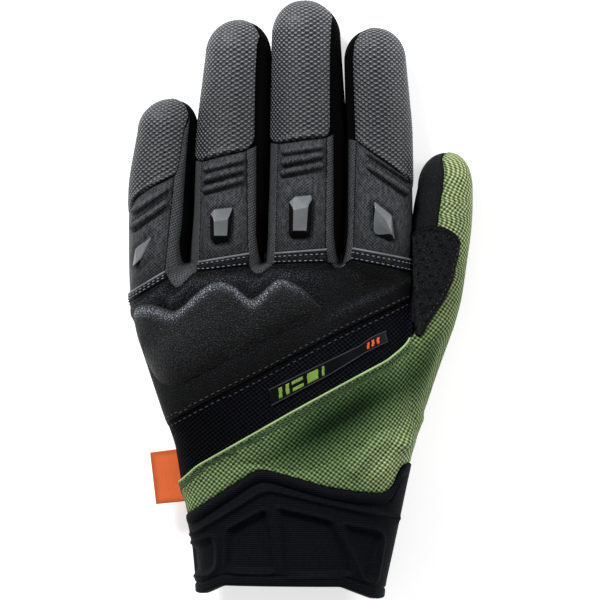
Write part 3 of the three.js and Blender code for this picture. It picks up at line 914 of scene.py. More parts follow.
@dataclass(frozen=True)
class Cloth:
    """A knitted or woven finish. The pitch is in millimetres, and the depth is the relief of a knot."""

    name: str
    knit: Knit
    low: Color
    high: Color
    pitch: float
    depth: float
    angle: float = 0.0
    roughness: float = 0.85
    sheen: float = 0.0
    vary: float = 0.25
    streak: float = 0.3  # share of drawn-out noise in the pattern
    gloss: float = 0.35
    squash: float = 1.0  # pitch along the cloth as a share of the pitch across
    gap: float = -0.45  # where the dark between the knots ends, on a scale from -1 to 1
    # powers of the painted light and shade for red, green and blue
    tint: tuple[float, float, float] = (1.0, 1.0, 1.0)

    def knots(self, graph: Graph) -> Socket:
        """Height of the cloth from 0 between threads to 1 on a knot, from two crossed cosines."""
        across, along = graph.cloth(self.angle)
        first, second = graph.wave(across, self.pitch), graph.wave(along, self.pitch * self.squash)
        if self.knit is Knit.RIBBED:
            fine = graph.wave(across, self.pitch * 0.8)
            return graph.between(graph.math("MULTIPLY_ADD", fine, 0.3, second), -1.3, 1.3)
        product = graph.math("MULTIPLY", first, second)
        if self.knit is Knit.FINE:
            return graph.between(product, -0.6, 0.8)
        return graph.between(product, self.gap, 0.95)

    def build(self) -> Material:
        """The material: knots set the colour and bump, noise varies both."""
        graph = Graph(self.name)
        streaks = graph.streaks(*graph.cloth(self.angle), 0.9, 2.6)
        knots = graph.math("MULTIPLY", self.knots(graph), 1.0 - self.streak)
        knots = graph.math("MULTIPLY_ADD", streaks, self.streak, knots)
        fuzz = graph.noise(1800.0, 2.0)
        cloud = graph.noise(38.0, 3.0)
        color = graph.mix(knots, self.low, self.high)
        light = graph.math("MULTIPLY", cloud, self.vary)
        color = graph.shaded(graph.mix(light, color, self.low), self.tint)
        height = graph.math("MULTIPLY_ADD", fuzz, 0.22, knots)
        normal = graph.bump(height, self.depth * MM)
        rough = graph.between(fuzz, 0.3, 0.7, self.roughness - 0.08, self.roughness + 0.08)
        return graph.finish(color, rough, normal, Sheen_Weight=self.sheen, Sheen_Roughness=0.5,
                            Specular_IOR_Level=self.gloss)


@dataclass(frozen=True)
class Leather:
    """Grained leather. The grain is the size of a cell in millimetres."""

    name: str
    low: Color
    high: Color
    grain: float = 0.9
    depth: float = 0.12
    roughness: float = 0.5
    pores: float = 0.0  # pitch of punched holes, or none
    sheen: float = 0.0
    gloss: float = 0.45

    def build(self) -> Material:
        """The material: cells for the grain, noise for creases, and holes where asked."""
        graph = Graph(self.name)
        bend = graph.noise(300.0, 2.0)
        where = graph.add("TexCoord").outputs["Object"]
        moved = graph.add("VectorMath", {0: where, 1: graph.math("MULTIPLY", bend, 0.0009)},
                          operation="ADD").outputs[0]
        cells = graph.cells(1000.0 / self.grain, "DISTANCE_TO_EDGE", moved)
        grain = graph.between(cells, 0.0, 0.22)
        fine = graph.noise(2600.0, 2.0)
        crease = graph.noise(120.0, 4.0, 0.6)
        height = graph.math("MULTIPLY_ADD", fine, 0.15, grain)
        height = graph.math("MULTIPLY_ADD", crease, 0.4, height)
        speck = graph.math("MULTIPLY", grain, graph.between(fine, 0.36, 0.68))
        color = graph.mix(speck, self.low, self.high)
        # the punched holes are painted near black: painted shade inside them
        if self.pores:
            across, along = graph.cloth(8.0)
            rows = graph.math("MULTIPLY", graph.wave(across, self.pores), graph.wave(along, self.pores * 1.3))
            hole = graph.between(rows, 0.82, 0.68)
            height = graph.math("MULTIPLY_ADD", hole, 3.0, height)
            color = graph.mix(hole, (0.001, 0.001, 0.001, 1.0), color)
        normal = graph.bump(height, self.depth * MM)
        rough = graph.between(grain, 0.0, 1.0, self.roughness + 0.18, self.roughness)
        return graph.finish(graph.shaded(color), rough, normal, Sheen_Weight=self.sheen,
                            Specular_IOR_Level=self.gloss)


@dataclass(frozen=True)
class Moulded:
    """Smooth moulded rubber or plastic with a slightly rough skin."""

    name: str
    color: Color
    roughness: float = 0.5
    speck: float = 0.02
    coat: float = 0.0
    gloss: float = 0.5

    def build(self) -> Material:
        """The material: fine specks in the bump and a cloudy gloss."""
        graph = Graph(self.name)
        speck = graph.noise(4000.0, 2.0)
        cloud = graph.noise(140.0, 3.0)
        darker = tuple(part * 0.78 for part in self.color[:3]) + (1.0,)
        color = graph.mix(graph.between(cloud, 0.35, 0.65), darker, self.color)
        rough = graph.between(cloud, 0.3, 0.7, self.roughness - 0.06, self.roughness + 0.08)
        return graph.finish(color, rough, graph.bump(speck, self.speck * MM), Coat_Weight=self.coat,
                            Coat_Roughness=0.25, Specular_IOR_Level=self.gloss)


@dataclass
class Finishes:
    """Every finish of the glove, built when the class is called."""

    finger_mesh: Material = field(default_factory=Cloth(
        "pebbled_knit", Knit.PEBBLE, tone(0, 0, 1), tone(146, 149, 154), KNOT, 0.5,
        roughness=0.45, streak=0.1, gloss=0.45, squash=SQUASH, gap=-0.15).build)
    padded: Material = field(default_factory=Cloth(
        "padded_weave", Knit.FINE, tone(0, 0, 1), tone(76, 79, 83), 1.15, 0.4,
        roughness=0.6, streak=0.65).build)
    # near-black wall cloth: partly the gusset's own dark colour, partly painted shade between the fingers
    stretch: Material = field(default_factory=Cloth(
        "side_wall_cloth", Knit.FINE, tone(1, 1, 2), tone(6, 6, 8), 0.9, 0.2,
        roughness=0.95, vary=0.2, gloss=0.06).build)
    web: Material = field(default_factory=Cloth(
        "web_mesh", Knit.FINE, tone(3, 4, 5), tone(90, 93, 97), 1.25, 0.3,
        angle=20.0, roughness=0.55, sheen=0.05).build)
    band: Material = field(default_factory=Cloth(
        "dark_mesh", Knit.PEBBLE, tone(0, 0, 1), tone(28, 29, 37), 1.9, 0.3,
        angle=4.0, roughness=0.6, vary=0.2, streak=0.2, gloss=0.03, squash=0.85, gap=-0.3).build)
    # the tint makes the painted shade a deeper green
    green: Material = field(default_factory=Cloth(
        "green_net", Knit.PEBBLE, tone(8, 24, 4), tone(160, 190, 128), 1.9, 0.3, angle=-8.0,
        roughness=0.75, vary=0.3, streak=0.15, gloss=0.1, squash=0.9, tint=(1.3, 1.0, 1.2)).build)
    neoprene: Material = field(default_factory=Cloth(
        "knitted_neoprene", Knit.RIBBED, tone(0, 1, 2), tone(20, 22, 27), 0.75, 0.12,
        roughness=0.75, vary=0.3, gloss=0.07).build)
    leather: Material = field(default_factory=Leather(
        "grained_leather", tone(0, 1, 2), tone(60, 62, 67), 0.8, 0.18, 0.55, gloss=0.12).build)
    guard: Material = field(default_factory=Leather(
        "guard_leather", tone(0, 1, 2), tone(60, 62, 66), 0.85, 0.19, 0.46, gloss=0.24).build)
    punched: Material = field(default_factory=Leather(
        "punched_leather", tone(6, 7, 8), tone(40, 42, 45), 0.9, 0.14, 0.6, pores=4.0, gloss=0.12).build)
    suede: Material = field(default_factory=Leather(
        "palm_suede", tone(18, 19, 22), tone(40, 42, 46), 0.5, 0.1, 0.85, sheen=0.2, gloss=0.2).build)
    thumb: Material = field(default_factory=Leather(
        "thumb_leather", tone(4, 5, 7), tone(30, 32, 37), 0.6, 0.1, 0.65, gloss=0.18).build)
    stud: Material = field(default_factory=Moulded(
        "stud_rubber", tone(108, 112, 115), 0.34, coat=0.05).build)
    # darker copy of the stud rubber: painted shade on the stud's sides and foot
    stud_painted_shade: Material = field(default_factory=Moulded(
        "stud_rubber_painted_shade", tone(10, 10, 12), gloss=0.15).build)
    label: Material = field(default_factory=Moulded("label_rubber", tone(5, 6, 8), 0.35, gloss=0.15).build)
    mark_green: Material = field(default_factory=Moulded("label_green", tone(120, 158, 58)).build)
    mark_orange: Material = field(default_factory=Moulded("label_orange", tone(232, 88, 32)).build)
    tag: Material = field(default_factory=Cloth(
        "orange_tape", Knit.FINE, tone(255, 104, 42), tone(255, 136, 76), 0.55, 0.06,
        roughness=0.7, sheen=0.1).build)
    thread: Material = field(default_factory=Moulded("sewing_thread", tone(128, 131, 135)).build)
    dark_thread: Material = field(default_factory=Moulded(
        "dark_thread", tone(58, 60, 65), 0.6, gloss=0.2).build)
    # near black: painted shade inside the stitch holes
    hole: Material = field(default_factory=Moulded("stitch_hole", tone(2, 2, 3), 0.9).build)
    bead: Material = field(default_factory=Moulded("green_bead", tone(166, 192, 134), 0.6).build)
    welt: Material = field(default_factory=Moulded("green_thread", tone(98, 128, 84), 0.6).build)
    piping: Material = field(default_factory=Moulded("piping_cord", tone(112, 115, 118)).build)


@dataclass(frozen=True)
class Stud:
    """A moulded stud: outline of its foot and of its flat top, with the heights of shoulder and top."""

    foot: tuple[tuple[float, float], ...]
    top: tuple[tuple[float, float], ...]
    shoulder_z: float
    top_z: float
    root_z: float = 16.0
    bevel: float = 0.35
    # the sides that get the painted shade, a darker copy of the stud rubber
    dark_left: bool = True
    dark_right: bool = True
    steep: float = 0.66  # a side facet is dark where its normal's z is below this

    def build(self, name: str, look: Finishes) -> bpy.types.Object:
        """The convex hull of foot, shoulder and top, with its edges rounded."""
        work = bmesh.new()
        levels = [(self.foot, self.root_z), (self.foot, self.shoulder_z), (self.top, self.top_z)]
        for outline, z in levels:
            for x, y in outline:
                work.verts.new((x * MM, y * MM, z * MM))
        hull = bmesh.ops.convex_hull(work, input=work.verts)
        loose = [part for part in hull["geom_interior"] if isinstance(part, bmesh.types.BMVert)]
        bmesh.ops.delete(work, geom=loose, context="VERTS")
        bmesh.ops.dissolve_limit(work, angle_limit=np.radians(6.0), verts=work.verts, edges=work.edges)
        bmesh.ops.bevel(work, geom=work.edges[:], offset=self.bevel * MM, segments=3, profile=0.6,
                        affect="EDGES", clamp_overlap=True)
        bmesh.ops.recalc_face_normals(work, faces=work.faces)
        mesh = bpy.data.meshes.new(name)
        work.to_mesh(mesh)
        work.free()
        normals = np.zeros(3 * len(mesh.polygons))
        mesh.polygons.foreach_get("normal", normals)
        normals = normals.reshape(-1, 3)
        # facets turned from the light, and the foot, get the darker copy of the rubber: painted shade
        side = (normals[:, 0] < 0) & self.dark_left | (normals[:, 0] > 0.1) & self.dark_right
        steep = (normals[:, 2] < self.steep) & (normals[:, 1] < 0.45)
        dark = side & steep | (normals[:, 1] < -0.35)
        mesh.polygons.foreach_set("material_index", dark.astype(np.int32))
        mesh.materials.append(look.stud)
        mesh.materials.append(look.stud_painted_shade)
        piece = bpy.data.objects.new(name, mesh)
        bpy.context.scene.collection.objects.link(piece)
        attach(piece, BODY)
        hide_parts(name)
        log.info("%s: %d faces", name, len(mesh.polygons))
        return piece


@dataclass
class Finger:
    """One finger: mesh back, padded panel with ribs and a stud, side walls, front and foot strip."""

    name: str
    digit: Digit
    foot: dict[str, tuple[float, float]]
    panel_top: Points
    mesh_left: Points
    mesh_right: Points
    ribs: list[tuple[tuple[float, float], tuple[float, float]]]
    stud: Stud
    gusset: dict[bool, Points]  # where the black cloth begins, on the right side and on the left
    pitch: float = 0.44
    rib_half: float = 1.25
    rib_rise: float = 1.5
    knot_rise: float = 0.2
    front_start: float = 12.0  # where the palm side begins along Y
    front_pitch: float = 1.2

    def foot_corners(self, is_right: bool) -> Points:
        """Corners up one side of the foot strip and of the padded panel."""
        side = "right" if is_right else "left"
        return [self.foot["low_" + side], self.foot[side], self.panel_top[-1 if is_right else 0]]

    def edge_chart(self, *lines: Points | Array) -> Array:
        """One line through several, rounded, as parameters of the digit."""
        corners = np.concatenate([np.asarray(line, float) for line in lines])
        return self.digit.chart(soft_line(corners, 1.0))

    def to_tip(self, line: Array) -> Array:
        """An edge carried on to the very tip at its last angle, kept above the palm seam."""
        steps = np.linspace(line[-1, 1], self.digit.end, 60)[1:]
        angle = self.digit.held(np.full(59, line[-1, 0]), steps)
        return np.concatenate([line, np.stack([angle, steps], -1)])

    def side_seam(self, start: float, left: bool) -> Array:
        """The palm seam along one side, from a place to the tip."""
        along = np.linspace(start, self.digit.end, 200)
        return np.stack([self.digit.seam_angle(along, left), along], -1)

    def mesh_edges(self) -> tuple[Array, Array]:
        """Left and right edge of the mesh back, from the padded panel to the tip."""
        left = self.edge_chart([self.panel_top[0]], self.mesh_left)
        right = self.edge_chart([self.panel_top[-1]], self.mesh_right)
        return self.to_tip(left), self.to_tip(right)

    def build_mesh(self, look: Finishes) -> None:
        """The knitted mesh: staggered knots raised on the cloth, with a rolled seam at its foot."""
        left, right = self.mesh_edges()
        bottom = self.digit.trimmed(self.digit.chart(soft_line(self.panel_top, 0.6)))
        left, right = spanned(left, bottom[0], left[-1]), spanned(right, bottom[-1], right[-1])
        grid = filled(self.digit, bottom, level_line(left[-1], right[-1]), left, right, self.pitch)
        across, along = np.moveaxis(grid.uv, -1, 0)
        knots = np.cos(2 * np.pi * across / KNOT) * np.cos(2 * np.pi * along / (KNOT * SQUASH))
        side = np.minimum(grid.left, grid.right)
        near_edge = soft_step(grid.bottom, 0.6, 2.2) * soft_step(side, 0.0, 1.0)
        facing = soft_step(grid.normals[..., 2], 0.2, 0.7)
        ridge = 0.75 * hump(grid.bottom, 0.8, 1.5) * soft_step(side, 0.0, 6.0) * facing
        relief = knots * self.knot_rise * near_edge + ridge
        relief = relief + 0.4 - rounded(grid.bottom, 1.1) - rounded(side, 0.5)
        # painted light and shade: lighter towards the tip, with painted shade along the foot seam and the
        # sides
        shade = 0.9 + 0.6 * soft_step(grid.bottom, 16.0, 45.0)
        shade -= 0.8 * hump(grid.bottom, 0.7) + 0.35 * hump(side, 1.2)
        sheet(f"{self.name}_mesh_back", grid, relief, look.finger_mesh, "mesh_fabric",
              f"{self.name}_finger_mesh", shade=shade)

    def rib_height(self, x: Array, y: Array) -> Array:
        """Ribs in plan: a round bar over each centre line, in a shallow trough."""
        height = np.zeros(x.shape)
        for start, end in self.ribs:
            line = even_line(np.array([start, end]), step=0.3)
            away = distance_to(line, x, y)
            bar = np.sqrt(np.clip(1.0 - (away / self.rib_half) ** 2, 0.0, 1.0))
            trough = 0.5 * hump(away - self.rib_half, 0.55, 0.2)
            height = np.maximum(height, self.rib_rise * bar) - trough * (bar == 0)
        return height

    def rib_shadow(self, x: Array, y: Array) -> Array:
        """Painted shadow just below each rib, from 0 to 1."""
        shadow = np.zeros(x.shape)
        for start, end in self.ribs:
            line = even_line(np.array([start, end]) - [0.0, self.rib_half + 0.1], step=0.3)
            shadow = np.maximum(shadow, hump(distance_to(line, x, y), 0.55))
        return shadow

    def build_padded(self, look: Finishes) -> None:
        """The padded panel: crowned, with ribs and a hollow round the stud."""
        left = self.edge_chart([self.foot["left"], self.panel_top[0]])
        right = self.edge_chart([self.foot["right"], self.panel_top[-1]])
        bottom = self.digit.trimmed(self.digit.chart(soft_line([self.foot["left"], self.foot["right"]], 0.0)))
        top = self.digit.trimmed(self.digit.chart(soft_line(self.panel_top, 0.6)))
        left, right = spanned(left, bottom[0], top[0]), spanned(right, bottom[-1], top[-1])
        grid = filled(self.digit, bottom, top, left, right, self.pitch)
        side = np.minimum(grid.left, grid.right)
        crown = 0.7 * soft_step(side, 0.0, 4.5) * soft_step(np.minimum(grid.top, grid.bottom), 0.0, 5.0)
        outline = even_line(np.array([*self.stud.foot, self.stud.foot[0]]), step=0.3)
        around = distance_to(outline, grid.x, grid.y)
        facing = soft_step(grid.normals[..., 2], 0.2, 0.7)
        ribs = self.rib_height(grid.x, grid.y) * facing
        relief = crown * facing + ribs - 0.5 * hump(around, 0.8) - rounded(grid.edge, 0.8)
        # painted shade: darker towards the foot, round the stud, in the rib troughs and at the edges, with a
        # painted shadow below each rib
        shade = 1.15 - 0.6 * hump(grid.bottom, 9.0) - 0.5 * hump(around, 1.1)
        shade = (shade + 0.9 * np.minimum(ribs, 0.0)) * (1.0 - 0.7 * hump(grid.edge, 0.7))
        shade *= 1.0 - 0.8 * self.rib_shadow(grid.x, grid.y)
        piece = sheet(f"{self.name}_padded_panel", grid, relief, look.padded, "padded_fabric",
                      f"{self.name}_knuckle_panel", shade=np.maximum(shade, DARKEST))

    def build_front(self, look: Finishes) -> None:
        """The palm side of the finger, from seam to seam under it."""
        right = self.side_seam(self.front_start, False)
        left = self.side_seam(self.front_start, True) - np.array([2 * np.pi, 0.0])
        bottom, top = (level_line(right[row], left[row]) for row in (0, -1))
        grid = filled(self.digit, bottom, top, right, left, self.front_pitch)
        relief = -rounded(np.minimum(grid.left, grid.right), 0.6)
        sheet(f"{self.name}_front", grid, relief, look.suede, "suede", f"{self.name}_finger_front",
              wall=WALL * 0.8)

    def build_strip(self, look: Finishes, skin: Skin) -> None:
        """The stitched strip at the finger's foot, with piping along its upper edge."""
        foot = self.foot
        low = skin.trimmed(soft_line([foot["low_left"], foot["low_right"]], 0.0))
        high = skin.trimmed(soft_line([foot["left"], foot["right"]], 0.0))
        left = even_line(np.array([low[0], high[0]]), 30)
        right = even_line(np.array([low[-1], high[-1]]), 30)
        grid = on_skin(skin, (low, high, left, right), self.pitch)
        middle = np.minimum(grid.top, grid.bottom)
        relief = 0.45 + 0.25 * soft_step(middle, 0.0, 1.5) - rounded(grid.edge, 0.7)
        sheet(f"{self.name}_foot_strip", grid, relief, look.leather, "leather", f"{self.name}_seam_strip")
        seams = Heap()
        for share in (0.3, 0.62):
            row = int(len(grid.points) * share)
            lift = 0.62 * grid.normals[row]
            stitches(seams, grid.points[row] + lift, grid.normals[row], 1.9, 0.7, 0.2, 0.05)
        seams.write(f"{self.name}_foot_stitches", look.thread, "leather")
        edge = grid.points[-1] + 0.35 * grid.normals[-1]
        piping = Heap()
        piping.add(*cord_mesh(edge, grid.normals[-1], 0.42))
        piping.write(f"{self.name}_piping", look.piping, "leather")

    def build(self, look: Finishes, skin: Skin) -> None:
        """Builds every piece of the finger."""
        self.build_mesh(look)
        self.build_padded(look)
        self.build_front(look)
        self.build_strip(look, skin)
        self.stud.build(f"{self.name}_stud", look)


@dataclass
class SideWalls:
    """Side walls of two neighbouring fingers and the web between them."""

    left: Finger
    right: Finger
    web: Points
    right_end: float  # where the right finger's wall tapers out, along its digit
    start: float = 10.5
    whole: float = 40.0  # up to here along the finger a wall never ends
    least: float = 0.07  # beyond that, it ends where this angle is left of it
    pitch: float = 0.8
    strip_pitch: float = 0.5
    web_pitch: float = 0.4
    web_end: float = 16.0

    def wall(self, finger: Finger, is_right: bool, end: float) -> Grid:
        """A side wall from the back's edge down to the palm seam.

        Args:
            finger: whose wall it is.
            is_right: whether it is on the finger's right side.
            end: where it tapers out, along the digit.

        Returns:
            Its grid.
        """
        low = finger.edge_chart(finger.foot_corners(is_right))
        edge = np.concatenate([low, finger.mesh_edges()[is_right]])
        along = np.linspace(self.start, end, 300)
        order = np.argsort(edge[:, 1], kind="stable")
        back = finger.digit.held(np.interp(along, edge[order, 1], edge[order, 0]), along)
        seam = finger.digit.seam_angle(along, not is_right)
        gone = np.flatnonzero((np.abs(back - seam) < self.least) & (along > self.whole))
        last = gone[0] if len(gone) else len(along)
        along, back, seam = along[:last], back[:last], seam[:last]
        upper = np.stack([back, along], -1)
        lower = np.stack([seam, along], -1)
        first, second = (upper, lower) if is_right else (lower, upper)
        bottom, top = (level_line(first[row], second[row], 40) for row in (0, -1))
        return filled(finger.digit, bottom, top, first, second, self.pitch)

    def build(self, look: Finishes, skin: Skin) -> None:
        """The two walls, with fine mesh beside the back and black cloth below, and the web between."""
        pair = f"{self.left.name}_{self.right.name}"
        sides = ((self.left, True, self.left.digit.end), (self.right, False, self.right_end))
        black, fine = Heap(), Heap()
        for finger, is_right, end in sides:
            grid = self.wall(finger, is_right, end)
            edge = grid.left if is_right else grid.right
            # near-black cloth: partly its own colour, partly painted shade where the wall turns from the
            # light
            black.add(*shell(grid, -0.15 - rounded(edge, 0.5), WALL))
            fine.add(*self.strip(finger, is_right))
        fine.add(*shell(*self.saddle(skin), WALL * 0.5))
        black.write(f"side_walls_{pair}", look.stretch, "stretch_fabric", f"fourchette_{pair}")
        fine.write(f"side_mesh_{pair}", look.web, "stretch_fabric")

    def strip(self, finger: Finger, is_right: bool) -> tuple[Array, Array, Array, Array]:
        """Fine mesh on the wall from the padded panel to the line where the black cloth begins.

        Args:
            finger: whose wall it is.
            is_right: whether it is on the finger's right side.

        Returns:
            Points, faces, pattern places and shades.
        """
        side = finger.gusset[is_right]
        corners = finger.foot_corners(is_right)
        higher = [place for place in finger.mesh_right if is_right and place[1] < side[-1][1]]
        inner = finger.digit.chart(soft_line([*corners, *higher], 0.5))
        outer = finger.digit.chart(soft_line(side, 1.0))
        left, right = (inner, outer) if is_right else (outer, inner)
        bottom, top = (even_line(np.array([left[row], right[row]]), 30, scale=finger.digit.scale)
                       for row in (0, -1))
        grid = filled(finger.digit, bottom, top, left, right, self.strip_pitch)
        away = grid.left if is_right else grid.right
        width = np.maximum(grid.left + grid.right, 0.1)
        # painted shade: the fine mesh darkens away from the back, into the gap between the fingers
        shade = 1.0 - 0.9 * soft_step(away / width, 0.35, 1.0)
        return shell(grid, 0.1 - rounded(grid.edge, 0.4), WALL, shade)

    def saddle(self, skin: Skin) -> tuple[Grid, Array]:
        """The web: the skin between the strips, from the bottom of the U to past the crotch."""
        web = np.array([self.left.foot["low_right"], *self.web, self.right.foot["low_left"]])
        bottom = soft_line(web, 0.5)
        top = even_line(np.array([[bottom[0, 0], self.web_end], [bottom[-1, 0], self.web_end]]), 60)
        left = even_line(np.array([bottom[0], top[0]]), 60)
        right = even_line(np.array([bottom[-1], top[-1]]), 60)
        grid = on_skin(skin, (bottom, top, left, right), self.web_pitch)
        return grid, 0.25 - 1.2 * soft_step(grid.y, 10.5, 15.0) - rounded(grid.bottom, 0.8)


@dataclass
class KnuckleGuard:
    """Moulded, padded leather guard with a wavy upper edge.

    A place on it is the mix of its wavy edge and its foot in plan, set on the skin and raised by a
    profile: steep and round at the wavy edge, full behind it, and running out gently at the foot.
    """

    edge: Points
    foot: Points
    full: list[float]
    rise: float = 6.0
    pleat: float = 1.25  # width of a pleat along the wavy edge
    columns: int = 270
    rows: int = 104

    def grid(self, skin: Skin) -> tuple[Grid, Array]:
        """The guard's grid on the skin and its height over it.

        Args:
            skin: the hand's surface.

        Returns:
            The grid, and the padding's height with its two hollows and the pleats at the wavy edge.
        """
        share = np.linspace(0.0, 1.0, len(self.edge))
        u = np.linspace(0.0, 1.0, self.columns)
        tables = (np.array(self.edge), np.array(self.foot), np.array(self.full)[:, None])
        crest, root, full = (smoothed(at_places(u, share, table), gaussian(10, 4.2)) for table in tables)
        v = np.linspace(0.0, 1.0, self.rows) ** 0.8
        plan = root[None] + (crest - root)[None] * v[:, None, None]
        x, y = plan[..., 0], plan[..., 1]
        grid = measured(np.stack([x, y, skin.top(x, y)], -1), plan)
        steep = np.sqrt(np.clip(1.0 - (1.0 - np.clip(grid.top / 3.6, 0.0, 1.0)) ** 2, 0.0, 1.0))
        gentle = np.sqrt(soft_step(grid.bottom, -0.5, 15.0))
        sides = np.sqrt(soft_step(np.minimum(grid.left, grid.right), 0.0, 7.0))
        pleats = 0.1 * np.cos(2 * np.pi * grid.left / self.pleat) * hump(grid.top, 1.5, 1.8)
        lobes = 1.0 - 0.28 * hump(grid.x + 17.3 - 0.35 * grid.y, 5.0)
        lobes -= 0.22 * hump(grid.x + 43.2 - 0.35 * grid.y, 5.0)
        facing = soft_step(grid.normals[..., 2], 0.1, 0.85)
        height = self.rise * full[:, 0] * steep * gentle * sides * lobes * facing
        return grid, height + pleats * sides + 0.15

    def build(self, look: Finishes, skin: Skin) -> None:
        """The guard and the stitch holes along its wavy edge."""
        grid, height = self.grid(skin)
        # painted shade: darker towards the lower right, a painted shadow at the foot and painted shade at the
        # very top edge
        shade = 0.8 - 0.65 * soft_step(grid.x - 1.6 * grid.y, 0.0, 36.0)
        shade *= 0.08 + 0.92 * soft_step(grid.bottom, 0.8, 9.0)
        # painted highlight along the wavy edge, broken into pleats
        pleats = 8.0 + 3.0 * np.cos(2 * np.pi * grid.left / self.pleat)
        ends = soft_step(grid.right, 5.0, 20.0) * soft_step(grid.left, 0.0, 5.0)
        shade += pleats * hump(grid.top, 1.5, 2.6) * ends
        shade = np.maximum(shade * soft_step(grid.top, -0.4, 1.0), DARKEST)
        piece = sheet("knuckle_guard_pad", grid, height, look.guard, "leather", "knuckle_guard", 0.6, shade)
        crest = grid.points[-1] + grid.normals[-1] * height[-1][:, None]
        # near-black strands along the wavy edge stand for the stitch holes: painted shade inside the holes
        holes = Heap()
        stitches(holes, crest + [0.0, 0.55, 0.42], grid.normals[-1], 1.7, 0.5, 0.34, 0.0)
        holes.write("knuckle_guard_holes", look.hole, "leather")


